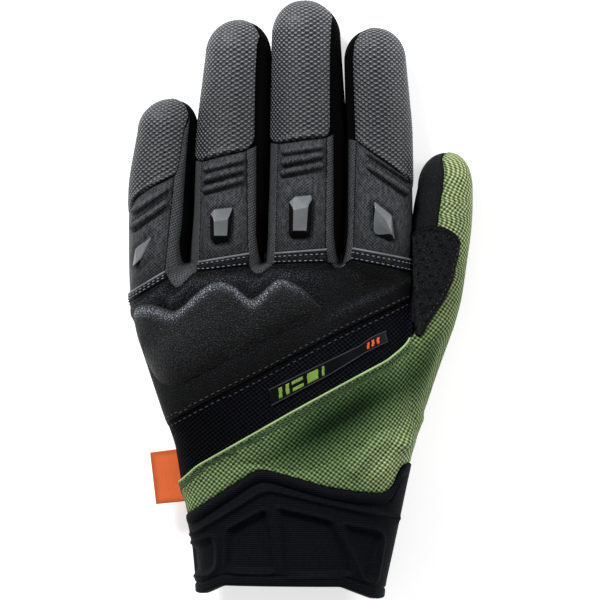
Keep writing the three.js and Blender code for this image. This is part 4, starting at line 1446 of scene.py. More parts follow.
@dataclass
class HandBack:
    """Leather over the knuckles, mesh band with its label, and green cloth, with their stitching."""

    skin: Skin
    knuckle_foot: Points
    green_edge: Points
    web_corner: tuple[float, float]
    thumb_seam: Points
    cuff_top: Points
    label: tuple[Points, Points]
    pitch: float = 0.62
    label_pitch: float = 0.3

    def build_leather(self, look: Finishes, fingers: dict[str, Finger], webs: list[Points]) -> None:
        """Knuckle leather, from the diagonal seam to the fingers' feet.

        Args:
            look: the finishes.
            fingers: the four fingers from left to right.
            webs: the bottom of the U between each two of them.
        """
        feet: Points = []
        for finger, web in zip(fingers.values(), [*webs, []]):
            feet += [finger.foot["low_left"], finger.foot["low_right"], *web]
        bottom = self.skin.trimmed(soft_line(self.knuckle_foot, 2.0))
        top = self.skin.trimmed(soft_line(feet, 0.5))
        left = self.skin.seam_line(bottom[0, 1], top[0, 1], True)
        right = even_line(np.array([bottom[-1], top[-1]]), 60)
        grid = on_skin(self.skin, (bottom, top, left, right), self.pitch)
        roll = hump(grid.bottom, 2.2, 6.5) * soft_step(grid.x, 6.0, 16.0)
        puff = hump(grid.top, 2.4, 5.5) * soft_step(grid.x, 20.0, -10.0)
        relief = 0.5 + 0.9 * roll + 0.7 * puff * soft_step(grid.edge, 0.0, 3.0) - rounded(grid.edge, 0.9)
        # painted light and shade: lighter on the rolled ridge and the puff below the strips, darker at the
        # edges, by the lower seam on the left, under the strips on the right and towards the right
        shade = (0.46 + 0.6 * roll + 1.1 * puff) * (0.5 + 0.5 * soft_step(grid.edge, 0.0, 3.0))
        shade *= 1.0 - 0.75 * hump(grid.bottom, 8.0) * soft_step(grid.x, 8.0, -4.0)
        shade *= 1.0 - 0.75 * hump(grid.top, 3.0, 5.0) * soft_step(grid.x, 16.0, 24.0)
        shade *= 1.0 - 0.65 * soft_step(grid.x, 4.0, 22.0) * (1.0 - roll)
        sheet("knuckle_leather_panel", grid, relief, look.leather, "leather", "knuckle_leather", shade=shade)
        self.sew(grid, look, "knuckle_leather_stitches", 1.4, 0.5, "leather")

    def build_band(self, look: Finishes) -> None:
        """Mesh band between the two diagonal seams."""
        bottom = self.skin.trimmed(soft_line([*self.green_edge, self.web_corner], 1.5))
        top = self.skin.trimmed(soft_line(self.knuckle_foot, 2.0))
        left = self.skin.seam_line(bottom[0, 1], top[0, 1], True)
        right = even_line(np.array([bottom[-1], top[-1]]), 60)
        grid = on_skin(self.skin, (bottom, top, left, right), self.pitch)
        # painted shade: darker towards the left and next to the top seam under the knuckle leather
        shade = (0.35 + 0.75 * soft_step(grid.x, -45.0, 10.0)) * (0.3 + 0.7 * soft_step(grid.top, 0.0, 2.0))
        sheet("mesh_band_panel", grid, 0.1 - rounded(grid.edge, 0.6), look.band, "mesh_fabric",
              "mesh_band", shade=shade)
        self.sew(grid, look, "mesh_band_stitches", -1.6, 0.1, "mesh_fabric")

    def sew(self, grid: Grid, look: Finishes, name: str, away: float, lift: float, slot: str) -> None:
        """A row of stitches beside the bottom edge, or beside the top edge where away is negative.

        Args:
            grid: the panel's grid.
            look: the finishes.
            name: the piece's name.
            away: distance from the edge.
            lift: height over the panel.
            slot: the finish's slot.
        """
        measure = grid.bottom if away > 0 else grid.top
        row = np.argmin(np.abs(measure - abs(away)), axis=0)
        columns = np.arange(grid.points.shape[1])
        upward = grid.normals[row, columns, 2] > 0.4
        row, columns = row[upward], columns[upward]
        heap = Heap()
        stitches(heap, grid.points[row, columns] + lift * grid.normals[row, columns],
                 grid.normals[row, columns])
        heap.write(name, look.dark_thread, slot)

    def green_relief(self, grid: Grid) -> Array:
        """Welt along the upper edge, a rough band beside it, and soft folds near the wrist."""
        edge = grid.left
        welt = 0.9 * hump(edge, 0.55, 0.7)
        second = 0.45 * hump(edge, 0.9, 3.4)
        on_hand = 1.0 - soft_step(grid.y, -18.0, -10.0)
        fold = -2.2 * soft_step(edge, 3.0, 17.0) * hump(edge, 12.0, 17.0) * on_hand
        fold *= soft_step(grid.right, 2.0, 12.0)
        for start, end, width, height in GREEN_FOLDS:
            line = even_line(np.array([start, end]), step=1.0)
            away = distance_to(line, grid.x, grid.y)
            fold += height * hump(away, width) * soft_step(grid.right, 3.0, 10.0)
        fold = fold * soft_step(grid.edge, 0.0, 4.0)
        return 0.3 + (welt + second) * on_hand + fold - rounded(grid.edge, 0.7)

    def build_green(self, look: Finishes) -> None:
        """Green cloth: heel of the hand and the back of the thumb."""
        skin = self.skin
        thumb = skin.digits["thumb"].tip
        tip = (thumb.x + thumb.lean, thumb.y + thumb.reach - 0.05)
        upper = [*self.green_edge, self.web_corner, *self.thumb_seam[::-1], tip]
        left = skin.trimmed(soft_line(upper, 1.2))
        lower = skin.trimmed(soft_line(self.cuff_top, 1.0))
        turn = np.linspace(0.0, np.pi / 2, 60)
        round_tip = thumb.y + (tip[1] - thumb.y) * np.sin(turn)
        y = np.concatenate([np.linspace(lower[-1, 1], thumb.y, 120), round_tip])
        drop = (skin.side_height(y, False) - SEAM_Z) * (1.0 - soft_step(y, thumb.y, tip[1]))
        seam = np.stack([skin.sides(y)[1] + drop, y], -1)
        right = np.concatenate([lower, seam[1:]])
        bottom = skin.seam_line(left[0, 1], right[0, 1], True, 20)
        top = even_line(np.array([left[-1], right[-1]]), 20)
        grid = on_skin(skin, (bottom, top, left, right), self.pitch * 0.8)
        relief = self.green_relief(grid)
        sheet("green_cloth", grid, relief, look.green, "green_fabric", "green_panel",
              shade=self.green_shade(grid))
        self.trim_green(grid, relief, look)

    def green_shade(self, grid: Grid) -> Array:
        """Painted light and shade: lighter over the thumb and on the folds by the wrist, darker in the hollow
        beside the welt.
        """
        thumb = 0.6 * soft_step(grid.y, 0.0, 40.0)
        folds = 0.6 * hump(grid.x, 10.0, 31.0) * hump(grid.y, 9.0, -59.0)
        folds += 0.35 * soft_step(grid.x, 20.0, 36.0)
        hollow = 0.84 * hump(grid.left, 8.5, 11.0) * soft_step(grid.x, -22.0, 10.0)
        hollow *= 1.0 - soft_step(grid.y, -22.0, -6.0)
        side = 0.25 * soft_step(grid.x, -10.0, -40.0)
        return np.clip((0.95 + thumb + folds - hollow + side) * crease(grid), DARKEST, 2.0)

    def trim_green(self, grid: Grid, relief: Array, look: Finishes) -> None:
        """A pale bead on the welt and a zigzag of green thread on the band below it."""
        raised = grid.points + grid.normals * relief[..., None]
        rows = np.flatnonzero(grid.points[:, 0, 1] < -13.0)
        bead = Heap()
        bead.add(*cord_mesh(grid.points[rows, 0] + 0.75 * grid.normals[rows, 0], grid.normals[rows, 0], 0.42))
        bead.write("green_welt_bead", look.bead, "green_fabric")
        near, far = (np.argmin(np.abs(grid.left - away), axis=1)[rows] for away in (1.2, 3.1))
        zigzag = Heap()
        length = walked(raised[rows, 0])
        for offset in (0.0, 0.75):
            place = np.arange(offset, length[-1], 0.75)
            row = np.clip(np.searchsorted(length, place), 0, len(rows) - 1)
            column = np.where(np.arange(len(place)) % 2 == 0, near[row], far[row])
            path = raised[rows[row], column] + 0.12 * grid.normals[rows[row], column]
            zigzag.add(*cord_mesh(path, grid.normals[rows[row], column], 0.16, 5))
        zigzag.write("green_welt_zigzag", look.welt, "green_fabric")

    def build_label(self, look: Finishes) -> None:
        """The long label: a thin plate with a raised rim and plain marks."""
        high, low = soft_line(self.label[0], 0.8), soft_line(self.label[1], 0.8)
        left = even_line(np.array([low[0], high[0]]), 20)
        right = even_line(np.array([low[-1], high[-1]]), 20)
        grid = on_skin(self.skin, (low, high, left, right), self.label_pitch)
        sheet("label_plate", grid, 0.75 - rounded(grid.edge, 0.5), look.label, "label", "band_label", 0.2)
        outline = Heap()
        for row in (2, -3):
            outline.add(*cord_mesh(grid.points[row] + 0.62 * grid.normals[row], grid.normals[row], 0.2))
        outline.write("label_outline", look.dark_thread, "label")
        self.mark(grid, look.mark_green, "label_green_marks", LABEL_GREEN)
        self.mark(grid, look.mark_orange, "label_orange_marks", LABEL_ORANGE)

    def mark(self, grid: Grid, look: Material, name: str, bars: list[tuple[float, ...]]) -> None:
        """Slanted bars raised on the label, each a small patch of its grid.

        Args:
            grid: the label's grid.
            look: the bars' finish.
            name: the piece's name.
            bars: start, end, low side and high side of each bar as shares of the label.
        """
        heap = Heap()
        rows, columns = grid.points.shape[:2]
        for start, end, low, high in bars:
            u = np.linspace(start, end, 8)[None] * (columns - 1)
            v = np.linspace(low, high, 8)[:, None] * (rows - 1)
            lean = (v / (rows - 1) - low) * 0.018 * (columns - 1)
            c = np.clip(u + lean, 0, columns - 1).astype(int)
            r = np.broadcast_to(v, c.shape).astype(int)
            patch = measured(grid.points[r, c] + 0.78 * grid.normals[r, c], grid.uv[r, c])
            heap.add(*shell(patch, np.full(c.shape, 0.22), 0.1))
        heap.write(name, look, "label")


GREEN_FOLDS = [
    # start and end of a crest in plan, its width and its height
    ((18.0, -60.0), (30.0, -48.5), 2.0, 1.5),
    ((25.0, -65.5), (36.0, -52.0), 2.6, 2.4),
    ((36.0, -52.0), (41.0, -42.0), 2.2, 1.5),
]
LABEL_GREEN = [
    (0.09, 0.12, 0.25, 0.78), (0.15, 0.18, 0.25, 0.78), (0.21, 0.30, 0.25, 0.42), (0.21, 0.30, 0.6, 0.78),
    (0.33, 0.42, 0.25, 0.78), (0.45, 0.47, 0.25, 0.78),
]
LABEL_ORANGE = [(0.82, 0.84, 0.3, 0.72), (0.86, 0.88, 0.3, 0.72), (0.90, 0.92, 0.3, 0.72)]


@dataclass
class Thumb:
    """Dark leather on the thumb's inner side and front, with the punched patch over the web."""

    digit: Digit
    seam: Points
    patch: tuple[Points, Points]
    start: float = -22.0  # where the front begins along Y
    front_pitch: float = 0.8
    patch_pitch: float = 0.36

    def build_front(self, look: Finishes) -> None:
        """From the right palm seam under the thumb and up its inner side to the green cloth."""
        digit = self.digit
        along = np.linspace(self.start, digit.end, 200)
        right = np.stack([digit.seam_angle(along, False), along], -1)
        inner = digit.chart(soft_line(self.seam[::-1], 1.0))
        steps = np.linspace(inner[-1, 1], digit.end, 40)[1:]
        inner = np.concatenate([inner, np.stack([np.full(39, inner[-1, 0]), steps], -1)])
        inner = inner - np.array([2 * np.pi, 0.0])
        bottom, top = (even_line(np.array([right[row], inner[row]]), 80, scale=digit.scale)
                       for row in (0, -1))
        grid = filled(digit, bottom, top, right, inner, self.front_pitch)
        relief = -rounded(np.minimum(grid.left, grid.right), 0.6)
        sheet("thumb_front_leather", grid, relief, look.thumb, "suede", "thumb_front")

    def build_patch(self, look: Finishes) -> None:
        """The raised, punched patch with stitches inside its right edge."""
        left, right = (self.digit.chart(soft_line(side, 1.2)) for side in self.patch)
        bottom = even_line(np.array([left[0], right[0]]), 30, scale=self.digit.scale)
        top = self.digit.chart(soft_line(PATCH_TOP, 1.0))
        grid = filled(self.digit, bottom, top, left, right, self.patch_pitch)
        lip = 0.5 * hump(grid.top, 0.9, 1.3)
        relief = 1.4 + lip - 1.6 * rounded(grid.edge, 1.0)
        # painted light and shade: a painted shadow along the top edge under the lip, a painted highlight on
        # the lip, painted shade in two creases and at the edges, and a lighter band at the left
        shade = 1.0 - 0.85 * hump(grid.top, 1.5) + 0.5 * hump(grid.top, 0.7, 2.6)
        for crease_y in (2.4, -3.0):
            shade -= 0.6 * hump(grid.y - crease_y - 0.15 * (grid.x - 45.0), 0.9)
        shade += 0.5 * hump(grid.left, 0.6, 1.8) - 0.4 * hump(grid.edge, 0.8)
        shade = np.maximum(shade, DARKEST)
        sheet("thumb_web_patch", grid, relief, look.punched, "leather", "thumb_patch", 0.4, shade)
        seams = Heap()
        column = np.argmin(np.abs(grid.right - 1.8), axis=1)
        rows = np.arange(grid.points.shape[0])
        keep = (grid.left[:, -1] > 6.0) & (grid.top[:, 10] > 2.5)
        path = grid.points[rows, column] + 1.35 * grid.normals[rows, column]
        stitches(seams, path[keep], grid.normals[rows, column][keep], 1.9, 0.6, 0.2, 0.0)
        seams.write("thumb_web_patch_stitches", look.dark_thread, "leather")


PATCH_TOP = [(39.8, 22.0), (41.0, 24.4), (45.3, 25.9), (50.2, 25.2), (53.7, 23.3), (55.4, 20.3)]


@dataclass
class Cuff:
    """Knitted cuff: a ring with raised frames round pressed windows, hollow for the wrist."""

    hand: Tube
    top: Points
    hem: Points
    windows: list[Points]
    ridge: Points
    wall: float = 2.6
    around: int = 300
    along: int = 90
    proud: float = 0.9
    middle: float = -80.0  # a place along Y where the wrist's section is first taken

    def surface(self, angle: Array, y: Array, grow: float | Array) -> Array:
        """Places on the wrist's section, grown outwards and flattened on the floor."""
        x, w, z, h = self.hand.section(y)
        side = x + (w + grow) * bulge(np.cos(angle), self.hand.power)
        height = z + (h + grow) * bulge(np.sin(angle), self.hand.power)
        return np.stack([side, y + 0 * side, np.maximum(height, np.maximum(-grow, 0.0))], -1)

    def relief(self, x: Array, y: Array, z: Array, from_top: Array, from_hem: Array) -> Array:
        """Pressed windows with soft sides, ridges along the top edge and a ridge lower down.

        Args:
            x: plan x of the places.
            y: plan y of the places.
            z: their height.
            from_top: distance from the top edge.
            from_hem: distance from the hem.

        Returns:
            The height to add at each place.
        """
        height = np.full(x.shape, self.proud)
        on_back = soft_step(z, 14.0, 18.0)
        for outline in self.windows:
            border = soft_line([*outline, outline[0]], 0.9)
            away = distance_to(border, x, y)
            signed = np.where(inside(border, x, y), away, -away)
            height -= 1.6 * soft_step(signed, -0.7, 1.5) * on_back
            height += 0.5 * hump(signed, 0.6, -1.0) * on_back
        ridge = distance_to(soft_line(self.ridge, 2.0), x, y)
        upper = soft_step(z, 16.5, 22.0)
        height += 1.0 * hump(ridge, 0.9) * upper
        above = soft_step(from_top, 3.2, 4.6) * hump(from_top, 0.9, 4.4)
        roll = 0.7 * hump(from_top, 1.6, 2.0) - 0.7 * above
        height += roll * upper * soft_step(-x, -37.0, -33.0) - rounded(from_top, 0.9)
        height -= 0.5 * hump(from_hem, 0.4, 3.6) + rounded(from_hem, 0.9)
        return height

    def build(self, look: Finishes) -> None:
        """Outer skin with its relief, inner wall, and rims at the top edge and the hem."""
        top, hem = soft_line(self.top, 1.0), soft_line(self.hem, 1.0)
        angle = np.pi / 2 - np.linspace(-np.pi, np.pi, self.around)
        even = np.linspace(-1.0, 1.0, self.along)
        share = 0.5 + 0.12 * np.sin(even * np.pi / 2) + 0.38 * even
        mid = self.surface(angle, np.full(self.around, self.middle), 0.0)[:, 0]
        high = np.interp(mid, top[:, 0], top[:, 1])
        low = np.interp(mid, hem[:, 0], hem[:, 1])
        y = low[None] + (high - low)[None] * share[:, None]
        angles = np.broadcast_to(angle[None], y.shape)
        base = self.surface(angles, y, 0.0)
        for _ in range(2):
            high = np.interp(base[..., 0], top[:, 0], top[:, 1])
            low = np.interp(base[..., 0], hem[:, 0], hem[:, 1])
            y = low + (high - low) * share[:, None]
            base = self.surface(angles, y, 0.0)
        grid = measured(base, np.stack([np.zeros(y.shape), y], -1))
        grid.uv[..., 0] = grid.left - grid.left[:, self.around // 2][:, None]
        relief = self.relief(base[..., 0], y, base[..., 2], grid.top, grid.bottom)
        points = base + grid.normals * relief[..., None]
        points[..., 2] = np.maximum(points[..., 2], 0.02)
        inner = self.surface(angles, y, self.proud - self.wall)
        number, front = grid_faces(*y.shape)
        back = front[:, ::-1] + number.size
        rims = []
        for row, order in ((number[0], 1), (number[-1], -1)):
            rim = np.stack([row[:-1], row[:-1] + number.size, row[1:] + number.size, row[1:]], -1)
            rims.append(rim[:, ::order])
        heap = Heap()
        heap.add(np.concatenate([points.reshape(-1, 3), inner.reshape(-1, 3)]),
                 np.concatenate([front, back, *rims]), np.concatenate([grid.uv.reshape(-1, 2)] * 2))
        heap.write("knitted_cuff", look.neoprene, "neoprene", "cuff")


@dataclass
class Palm:
    """The palm sheet: flat on the floor, with its edges turned up to the seams at both sides."""

    skin: Skin
    cuff_top: Points
    under: Points
    front: float = 13.0
    behind: float = 8.0  # how far it runs on under the cuff
    inset: float = 1.2  # how far its edges lie inside the outlines
    rows: int = 90
    columns: int = 110
    turn_up: int = 18  # power of the share across, so that only the edges rise

    def build(self, look: Finishes) -> None:
        """A grid from the right seam under the hand to the left seam, row by row along Y."""
        top = soft_line(self.cuff_top, 1.0)
        y_low = np.interp(0.0, top[:, 0], top[:, 1])
        rows = np.linspace(y_low - self.behind, self.front, self.rows)
        left, right = self.skin.sides(rows)
        under = np.array(self.under)
        limit = np.interp(rows, under[::-1, 1], under[::-1, 0])
        right = np.where(rows > under[-1, 1], np.minimum(right, limit), right)
        side_height = self.skin.side_height(rows, True)
        across = np.cos(np.linspace(0.0, np.pi, self.columns))
        middle, half = (left + right) / 2, (right - left) / 2
        x = middle[:, None] + (half[:, None] - self.inset) * across[None]
        z = np.minimum(SEAM_Z, side_height[:, None]) * np.abs(across)[None] ** self.turn_up
        y = np.broadcast_to(rows[:, None], x.shape)
        points = np.stack([x, y, z + 0.02], -1)
        grid = measured(points, np.stack([x, y], -1))
        sheet("palm_sheet", grid, np.zeros(x.shape), look.suede, "suede", "palm")


@dataclass
class Tag:
    """Orange cloth tag sewn into the side seam."""

    outline: Points
    z: float = 9.5
    half: float = 0.45
    width: float = 14.0
    length: float = 18.0
    pitch: float = 0.4

    def build(self, look: Finishes) -> None:
        """Two faces and a rim between four corners, waved a little."""
        a, b, c, d = (np.array(corner, float) for corner in self.outline)
        u = shares(self.width, self.pitch)[None, :, None]
        v = shares(self.length, self.pitch)[:, None, None]
        plan = (1 - v) * ((1 - u) * d + u * c) + v * ((1 - u) * a + u * b)
        wave = 0.35 * np.sin(plan[..., 1] / 5.0) + 0.25 * np.sin(plan[..., 0] / 4.0)
        points = np.concatenate([plan, (self.z + wave + self.half)[..., None]], -1)
        grid = measured(points, plan)
        sheet("orange_tag", grid, -rounded(grid.edge, 0.3), look.tag, "tag", "side_tag", 2 * self.half)


HAND = Tube(
    rows=(
        (-108.0, -3.8, 32.0, 16.5, 17.5), (-99.8, -3.5, 32.4, 16.5, 17.5), (-84.4, -2.5, 34.8, 16.0, 17.0),
        (-63.4, -2.5, 39.2, 16.0, 17.0), (-50.8, -2.1, 41.6, 16.0, 17.0), (-38.2, -4.6, 43.6, 15.6, 16.6),
        (-13.0, -8.8, 47.8, 14.6, 15.6), (-0.4, -10.0, 49.0, 13.8, 14.8), (6.0, -10.3, 49.3, 12.9, 13.3),
        (10.4, -10.2, 48.2, 12.0, 10.2), (12.6, -10.0, 45.5, 11.5, 6.5),
    ),
    power=2.5, soften=2.0,
)
DIGITS = {
    "little": Digit(
        rows=(
            (-34.0, -34.0, 6.0, 10.0, 11.0), (-3.9, -49.0, 10.5, 11.0, 12.0), (10.2, -49.4, 10.8, 11.4, 12.4),
            (28.4, -48.7, 11.6, 10.2, 11.2), (41.7, -48.3, 11.6, 9.7, 10.7),
        ),
        power=2.2, tip=Tip(58.8, -46.2, 10.6, 8.8, 9.8, 11.2, 1.2),
    ),
    "ring": Digit(
        rows=(
            (-24.0, -24.0, 9.0, 11.0, 12.0), (0.0, -26.1, 12.3, 12.0, 13.0), (17.2, -25.3, 13.3, 12.0, 13.0),
            (30.0, -24.2, 13.2, 11.2, 12.2), (55.7, -23.4, 13.2, 10.4, 11.4),
        ),
        power=2.2, tip=Tip(85.8, -21.5, 11.4, 9.2, 10.2, 11.9, 0.4),
    ),
    "middle": Digit(
        rows=(
            (-24.0, -4.0, 9.0, 11.0, 12.0), (0.0, 0.2, 13.2, 12.6, 13.6), (17.2, 1.1, 13.7, 12.4, 13.4),
            (34.7, 2.5, 13.7, 11.4, 12.4), (60.0, 2.9, 13.5, 10.6, 11.6),
        ),
        power=2.2, tip=Tip(92.1, 2.3, 11.9, 9.4, 10.4, 12.4, -0.6),
    ),
    "index": Digit(
        rows=(
            (-34.0, 12.0, 8.0, 11.0, 12.0), (-2.0, 26.0, 12.6, 12.0, 13.0), (12.0, 26.3, 12.6, 12.0, 13.0),
            (30.0, 27.1, 12.3, 11.0, 12.0), (60.0, 27.3, 11.6, 10.0, 11.0),
        ),
        power=2.2, tip=Tip(83.7, 25.9, 10.7, 9.0, 10.0, 11.2, -0.2),
    ),
    "thumb": Digit(
        rows=(
            (-80.0, 8.0, 8.0, 9.0, 10.0), (-50.8, 25.0, 14.2, 11.4, 12.4), (-38.2, 29.9, 14.0, 11.2, 12.2),
            (-25.6, 35.5, 12.6, 10.6, 11.6), (-13.0, 41.1, 11.6, 10.0, 11.0), (-0.4, 45.4, 10.9, 9.7, 10.7),
            (24.2, 49.3, 10.5, 9.5, 10.5), (32.9, 50.0, 10.3, 9.3, 10.3),
        ),
        power=2.2, tip=Tip(39.2, 50.7, 9.5, 9.0, 10.0, 12.2, 0.7),
    ),
}
FINGERS = {
    "little": dict(
        gusset={True: [(-39.6, 10.0), (-41.6, 14.5), (-42.2, 19.0), (-41.3, 26.0), (-40.3, 42.9),
                       (-39.6, 54.0), (-38.7, 64.0)],
                False: [(-64.0, 0.0), (-64.0, 30.0)]},
        foot={"left": (-66.0, -2.0), "right": (-47.1, 9.6),
              "low_left": (-66.0, -5.0), "low_right": (-46.2, 7.2)},
        panel_top=[(-66, 26.5), (-59.4, 31.9), (-57.1, 35.7), (-51.5, 39.4), (-43.9, 43.1)],
        mesh_left=[(-66, 30), (-66, 69.9)],
        mesh_right=[(-42.9, 45.1), (-40.8, 58.8), (-39.2, 64.2)],
        ribs=[((-57.4, 30.7), (-46.4, 38.8)), ((-57.9, 25.1), (-47.2, 33.2))],
        stud=Stud(
            foot=((-51.8, 22.9), (-57.6, 17.4), (-58.6, 11.6), (-56.1, 9.7), (-51.6, 14.2)),
            top=((-52.2, 21.4), (-57.4, 12.6), (-55.6, 14.0), (-54.0, 16.8)), shoulder_z=20.7, top_z=22.9,
            dark_left=False, steep=0.93,
        ),
    ),
    "ring": dict(
        gusset={True: [(-13.0, 11.0), (-14.5, 15.5), (-15.4, 22.0), (-15.3, 53.5)],
                False: [(-38.6, 10.0), (-38.6, 30.0), (-38.6, 49.0)]},
        foot={"left": (-35.6, 12.8), "right": (-18, 15.8),
              "low_left": (-36.2, 9.6), "low_right": (-18.2, 11.7)},
        panel_top=[(-34.9, 48.0), (-18.7, 51.9)],
        mesh_left=[(-38.5, 52), (-44, 60), (-44, 97.6)],
        mesh_right=[(-16.1, 55.3), (-15.7, 79.1), (-15.2, 88.9), (-14.4, 91.8)],
        ribs=[((-32.4, 45.4), (-20.3, 48.7)), ((-32.7, 41.7), (-20.5, 45.2)), ((-32.9, 38.0), (-20.5, 41.6))],
        stud=Stud(
            foot=((-31.4, 21), (-29.6, 18.7), (-25, 18.9), (-24.4, 20.6), (-23.6, 31.9), (-30.1, 31.2),
                  (-31.5, 29.4)),
            top=((-30.0, 21.9), (-25.6, 21.9), (-25.2, 27.8), (-30.1, 27.0)), shoulder_z=24.4, top_z=27.2,
        ),
    ),
    "middle": dict(
        gusset={True: [(13.8, 11.5), (12.4, 16.0), (11.7, 23.0), (11.6, 57.5)],
                False: [(-12.3, 11.0), (-11.8, 15.5), (-11.3, 22.0), (-11.2, 55.0)]},
        foot={"left": (-8.9, 15.8), "right": (9.0, 17.2), "low_left": (-9.2, 12.4), "low_right": (9.4, 12.8)},
        panel_top=[(-8.1, 54.2), (9.3, 56.4)],
        mesh_left=[(-12, 58), (-18, 66), (-18, 104.3)],
        mesh_right=[(10.3, 59.2), (10.3, 87.1), (10.7, 97.0), (11.1, 98.8)],
        ribs=[((-5.2, 51.3), (7.2, 53.2)), ((-5.4, 47.5), (7.1, 50.0)), ((-5.6, 43.8), (6.9, 46.5))],
        stud=Stud(
            foot=((-4.1, 22.5), (-2.9, 20.9), (2.3, 20.9), (3.4, 22.1), (4.3, 34.9), (3.6, 36.1), (-2, 35.6),
                  (-4, 33.6)),
            top=((-2.6, 23.6), (2.0, 23.6), (2.6, 32.0), (-2.4, 31.0)), shoulder_z=25.4, top_z=28.4,
        ),
    ),
    "index": dict(
        gusset={True: [(42.0, 10.0), (42.0, 38.0)],
                False: [(14.4, 11.5), (15.7, 16.0), (16.5, 23.0), (16.8, 56.0)]},
        foot={"left": (18.2, 17.6), "right": (38.9, 13.6),
              "low_left": (17.7, 13.7), "low_right": (38.9, 9.4)},
        panel_top=[(19.3, 55.3), (23.3, 52.2), (38.0, 40.9), (46.0, 35.0)],
        mesh_left=[(18.8, 69.6), (18.4, 84.1), (18.9, 89.0)],
        mesh_right=[(46, 40), (46, 94.8)],
        ribs=[((23.7, 51.2), (37.0, 42.0)), ((24.3, 46.1), (36.3, 37.3))],
        stud=Stud(
            foot=((25.2, 23.9), (26.2, 22.2), (31.4, 20.2), (32.8, 20.8), (31.8, 29.1), (25.9, 33.9),
                  (25.1, 32.4)),
            top=((26.0, 31.8), (27.6, 26.4), (31.9, 22.6), (30.0, 26.8)), shoulder_z=24.5, top_z=26.3,
            dark_right=False,
        ),
    ),
}
WEBS = [
    [(-44.6, 4.6), (-43.2, 3.6), (-41, 4.9), (-38.2, 8)],
    [(-16.7, 9.4), (-15.0, 8.7), (-13.1, 9.1), (-10.4, 11.4)],
    [(11, 11.4), (13, 10.5), (14.9, 11.2), (16.3, 12.4)],
]
WEB_CORNER = (39.3, -12.5)
KNUCKLE_FOOT = [(-75, -58), (-46, -43), (-14.2, -26.4), (10.3, -13.3), (38.9, 0.4)]
GREEN_EDGE = [
    (-75, -82), (-41.5, -63.7), (-35.7, -58.1), (-24, -51.3), (-4.4, -40.1), (15.2, -29.4), (29.9, -21.5),
    (36, -16.4),
]
THUMB_SEAM = [(49.2, 50.2), (50.4, 45.2), (49.7, 38.2), (48.8, 32.9), (46.7, 17.2), (44.6, 3.2), (41.8, -7.4)]
CUFF_TOP = [
    (-75, -90), (-38.4, -74.6), (-26.1, -66.2), (-16.6, -60.1), (-13.8, -58.9), (-9.6, -59.5), (8.9, -65.1),
    (20.5, -67.1), (29.2, -67.6), (32, -65.1), (34.8, -58.2), (38, -57), (75, -57),
]
HEM = [(-75, -101.2), (-34.1, -102.6), (-27.5, -99.4), (14.5, -99.8), (26.3, -104.4), (75, -104.4)]
THUMB_UNDER = [(75, -24), (45, -14), (38.4, -4)]
LABEL_TOP = [(-11.2, -31.4), (4.0, -24.0), (20.2, -16.4), (24.2, -13.4), (29.6, -11.0)]
LABEL_BOTTOM = [(-10.2, -37.3), (10.2, -26.4), (22.2, -18.9), (30.4, -14.8)]
PATCH_LEFT = [(40.0, -12.6), (39.6, -8), (39.6, 8), (39.8, 22.0)]
PATCH_RIGHT = [
    (41.4, -13.6), (42.4, -13.0), (46.7, -5.6), (49.9, -1.2), (52.7, 5.2), (55.1, 15.9), (55.4, 20.3),
]
GUARD = [
    # x and y of the wavy edge, x and y of the foot, how full the padding is
    (-58.2, -5.0, -57.0, -13.0, 0.3), (-56.0, -1.9, -55.4, -18.0, 0.6), (-51.4, -1.2, -52.6, -25.0, 0.8),
    (-46.0, -3.4, -49.2, -29.1, 0.95), (-43.2, -4.1, -45.0, -30.5, 0.95), (-40.3, -2.3, -40.8, -29.4, 0.95),
    (-36.1, 1.3, -35.5, -27.0, 1.0), (-31.7, 4.4, -30.0, -24.2, 1.0), (-28.0, 5.8, -26.0, -22.0, 1.0),
    (-23.2, 4.2, -21.5, -19.6, 1.0), (-19.6, 1.3, -18.0, -17.6, 0.95), (-17.3, -0.3, -15.5, -16.4, 0.95),
    (-14.2, 1.3, -12.5, -14.8, 0.95), (-9.2, 5.4, -8.0, -12.4, 1.0), (-5.8, 6.3, -4.5, -10.8, 1.0),
    (-1.2, 4.9, -0.5, -9.4, 0.9), (3.2, 1.8, 3.5, -7.9, 0.7), (8.4, -3.6, 8.6, -6.9, 0.3),
]
CUFF_WINDOWS = [
    [(-50, -89), (-37.8, -86.5), (-30.4, -82.8), (-29.2, -87), (-29.6, -93.2), (-32, -95.4), (-50, -97)],
    [(-24.6, -80.4), (-12.2, -73.4), (-11.2, -76), (-9.4, -92.6), (-10.4, -94.6), (-23.6, -94),
     (-25.2, -92.4)],
    [(-7.2, -73.2), (5.6, -76.2), (10.6, -77.6), (15.6, -88.2), (17.4, -95.2), (-4.2, -95.8), (-5.4, -93.6)],
    [(15.4, -79.0), (26.6, -81.2), (27.6, -83), (25.0, -97.6), (22.4, -97.2), (16.8, -84.0)],
]
CUFF_RIDGE = [(-40, -83.5), (-37.3, -81.9), (-12.1, -65.8), (34.5, -76.7), (38, -77.4)]
TAG = [(-52.9, -53.9), (-39, -52.1), (-36, -70.6), (-50.8, -72.1)]


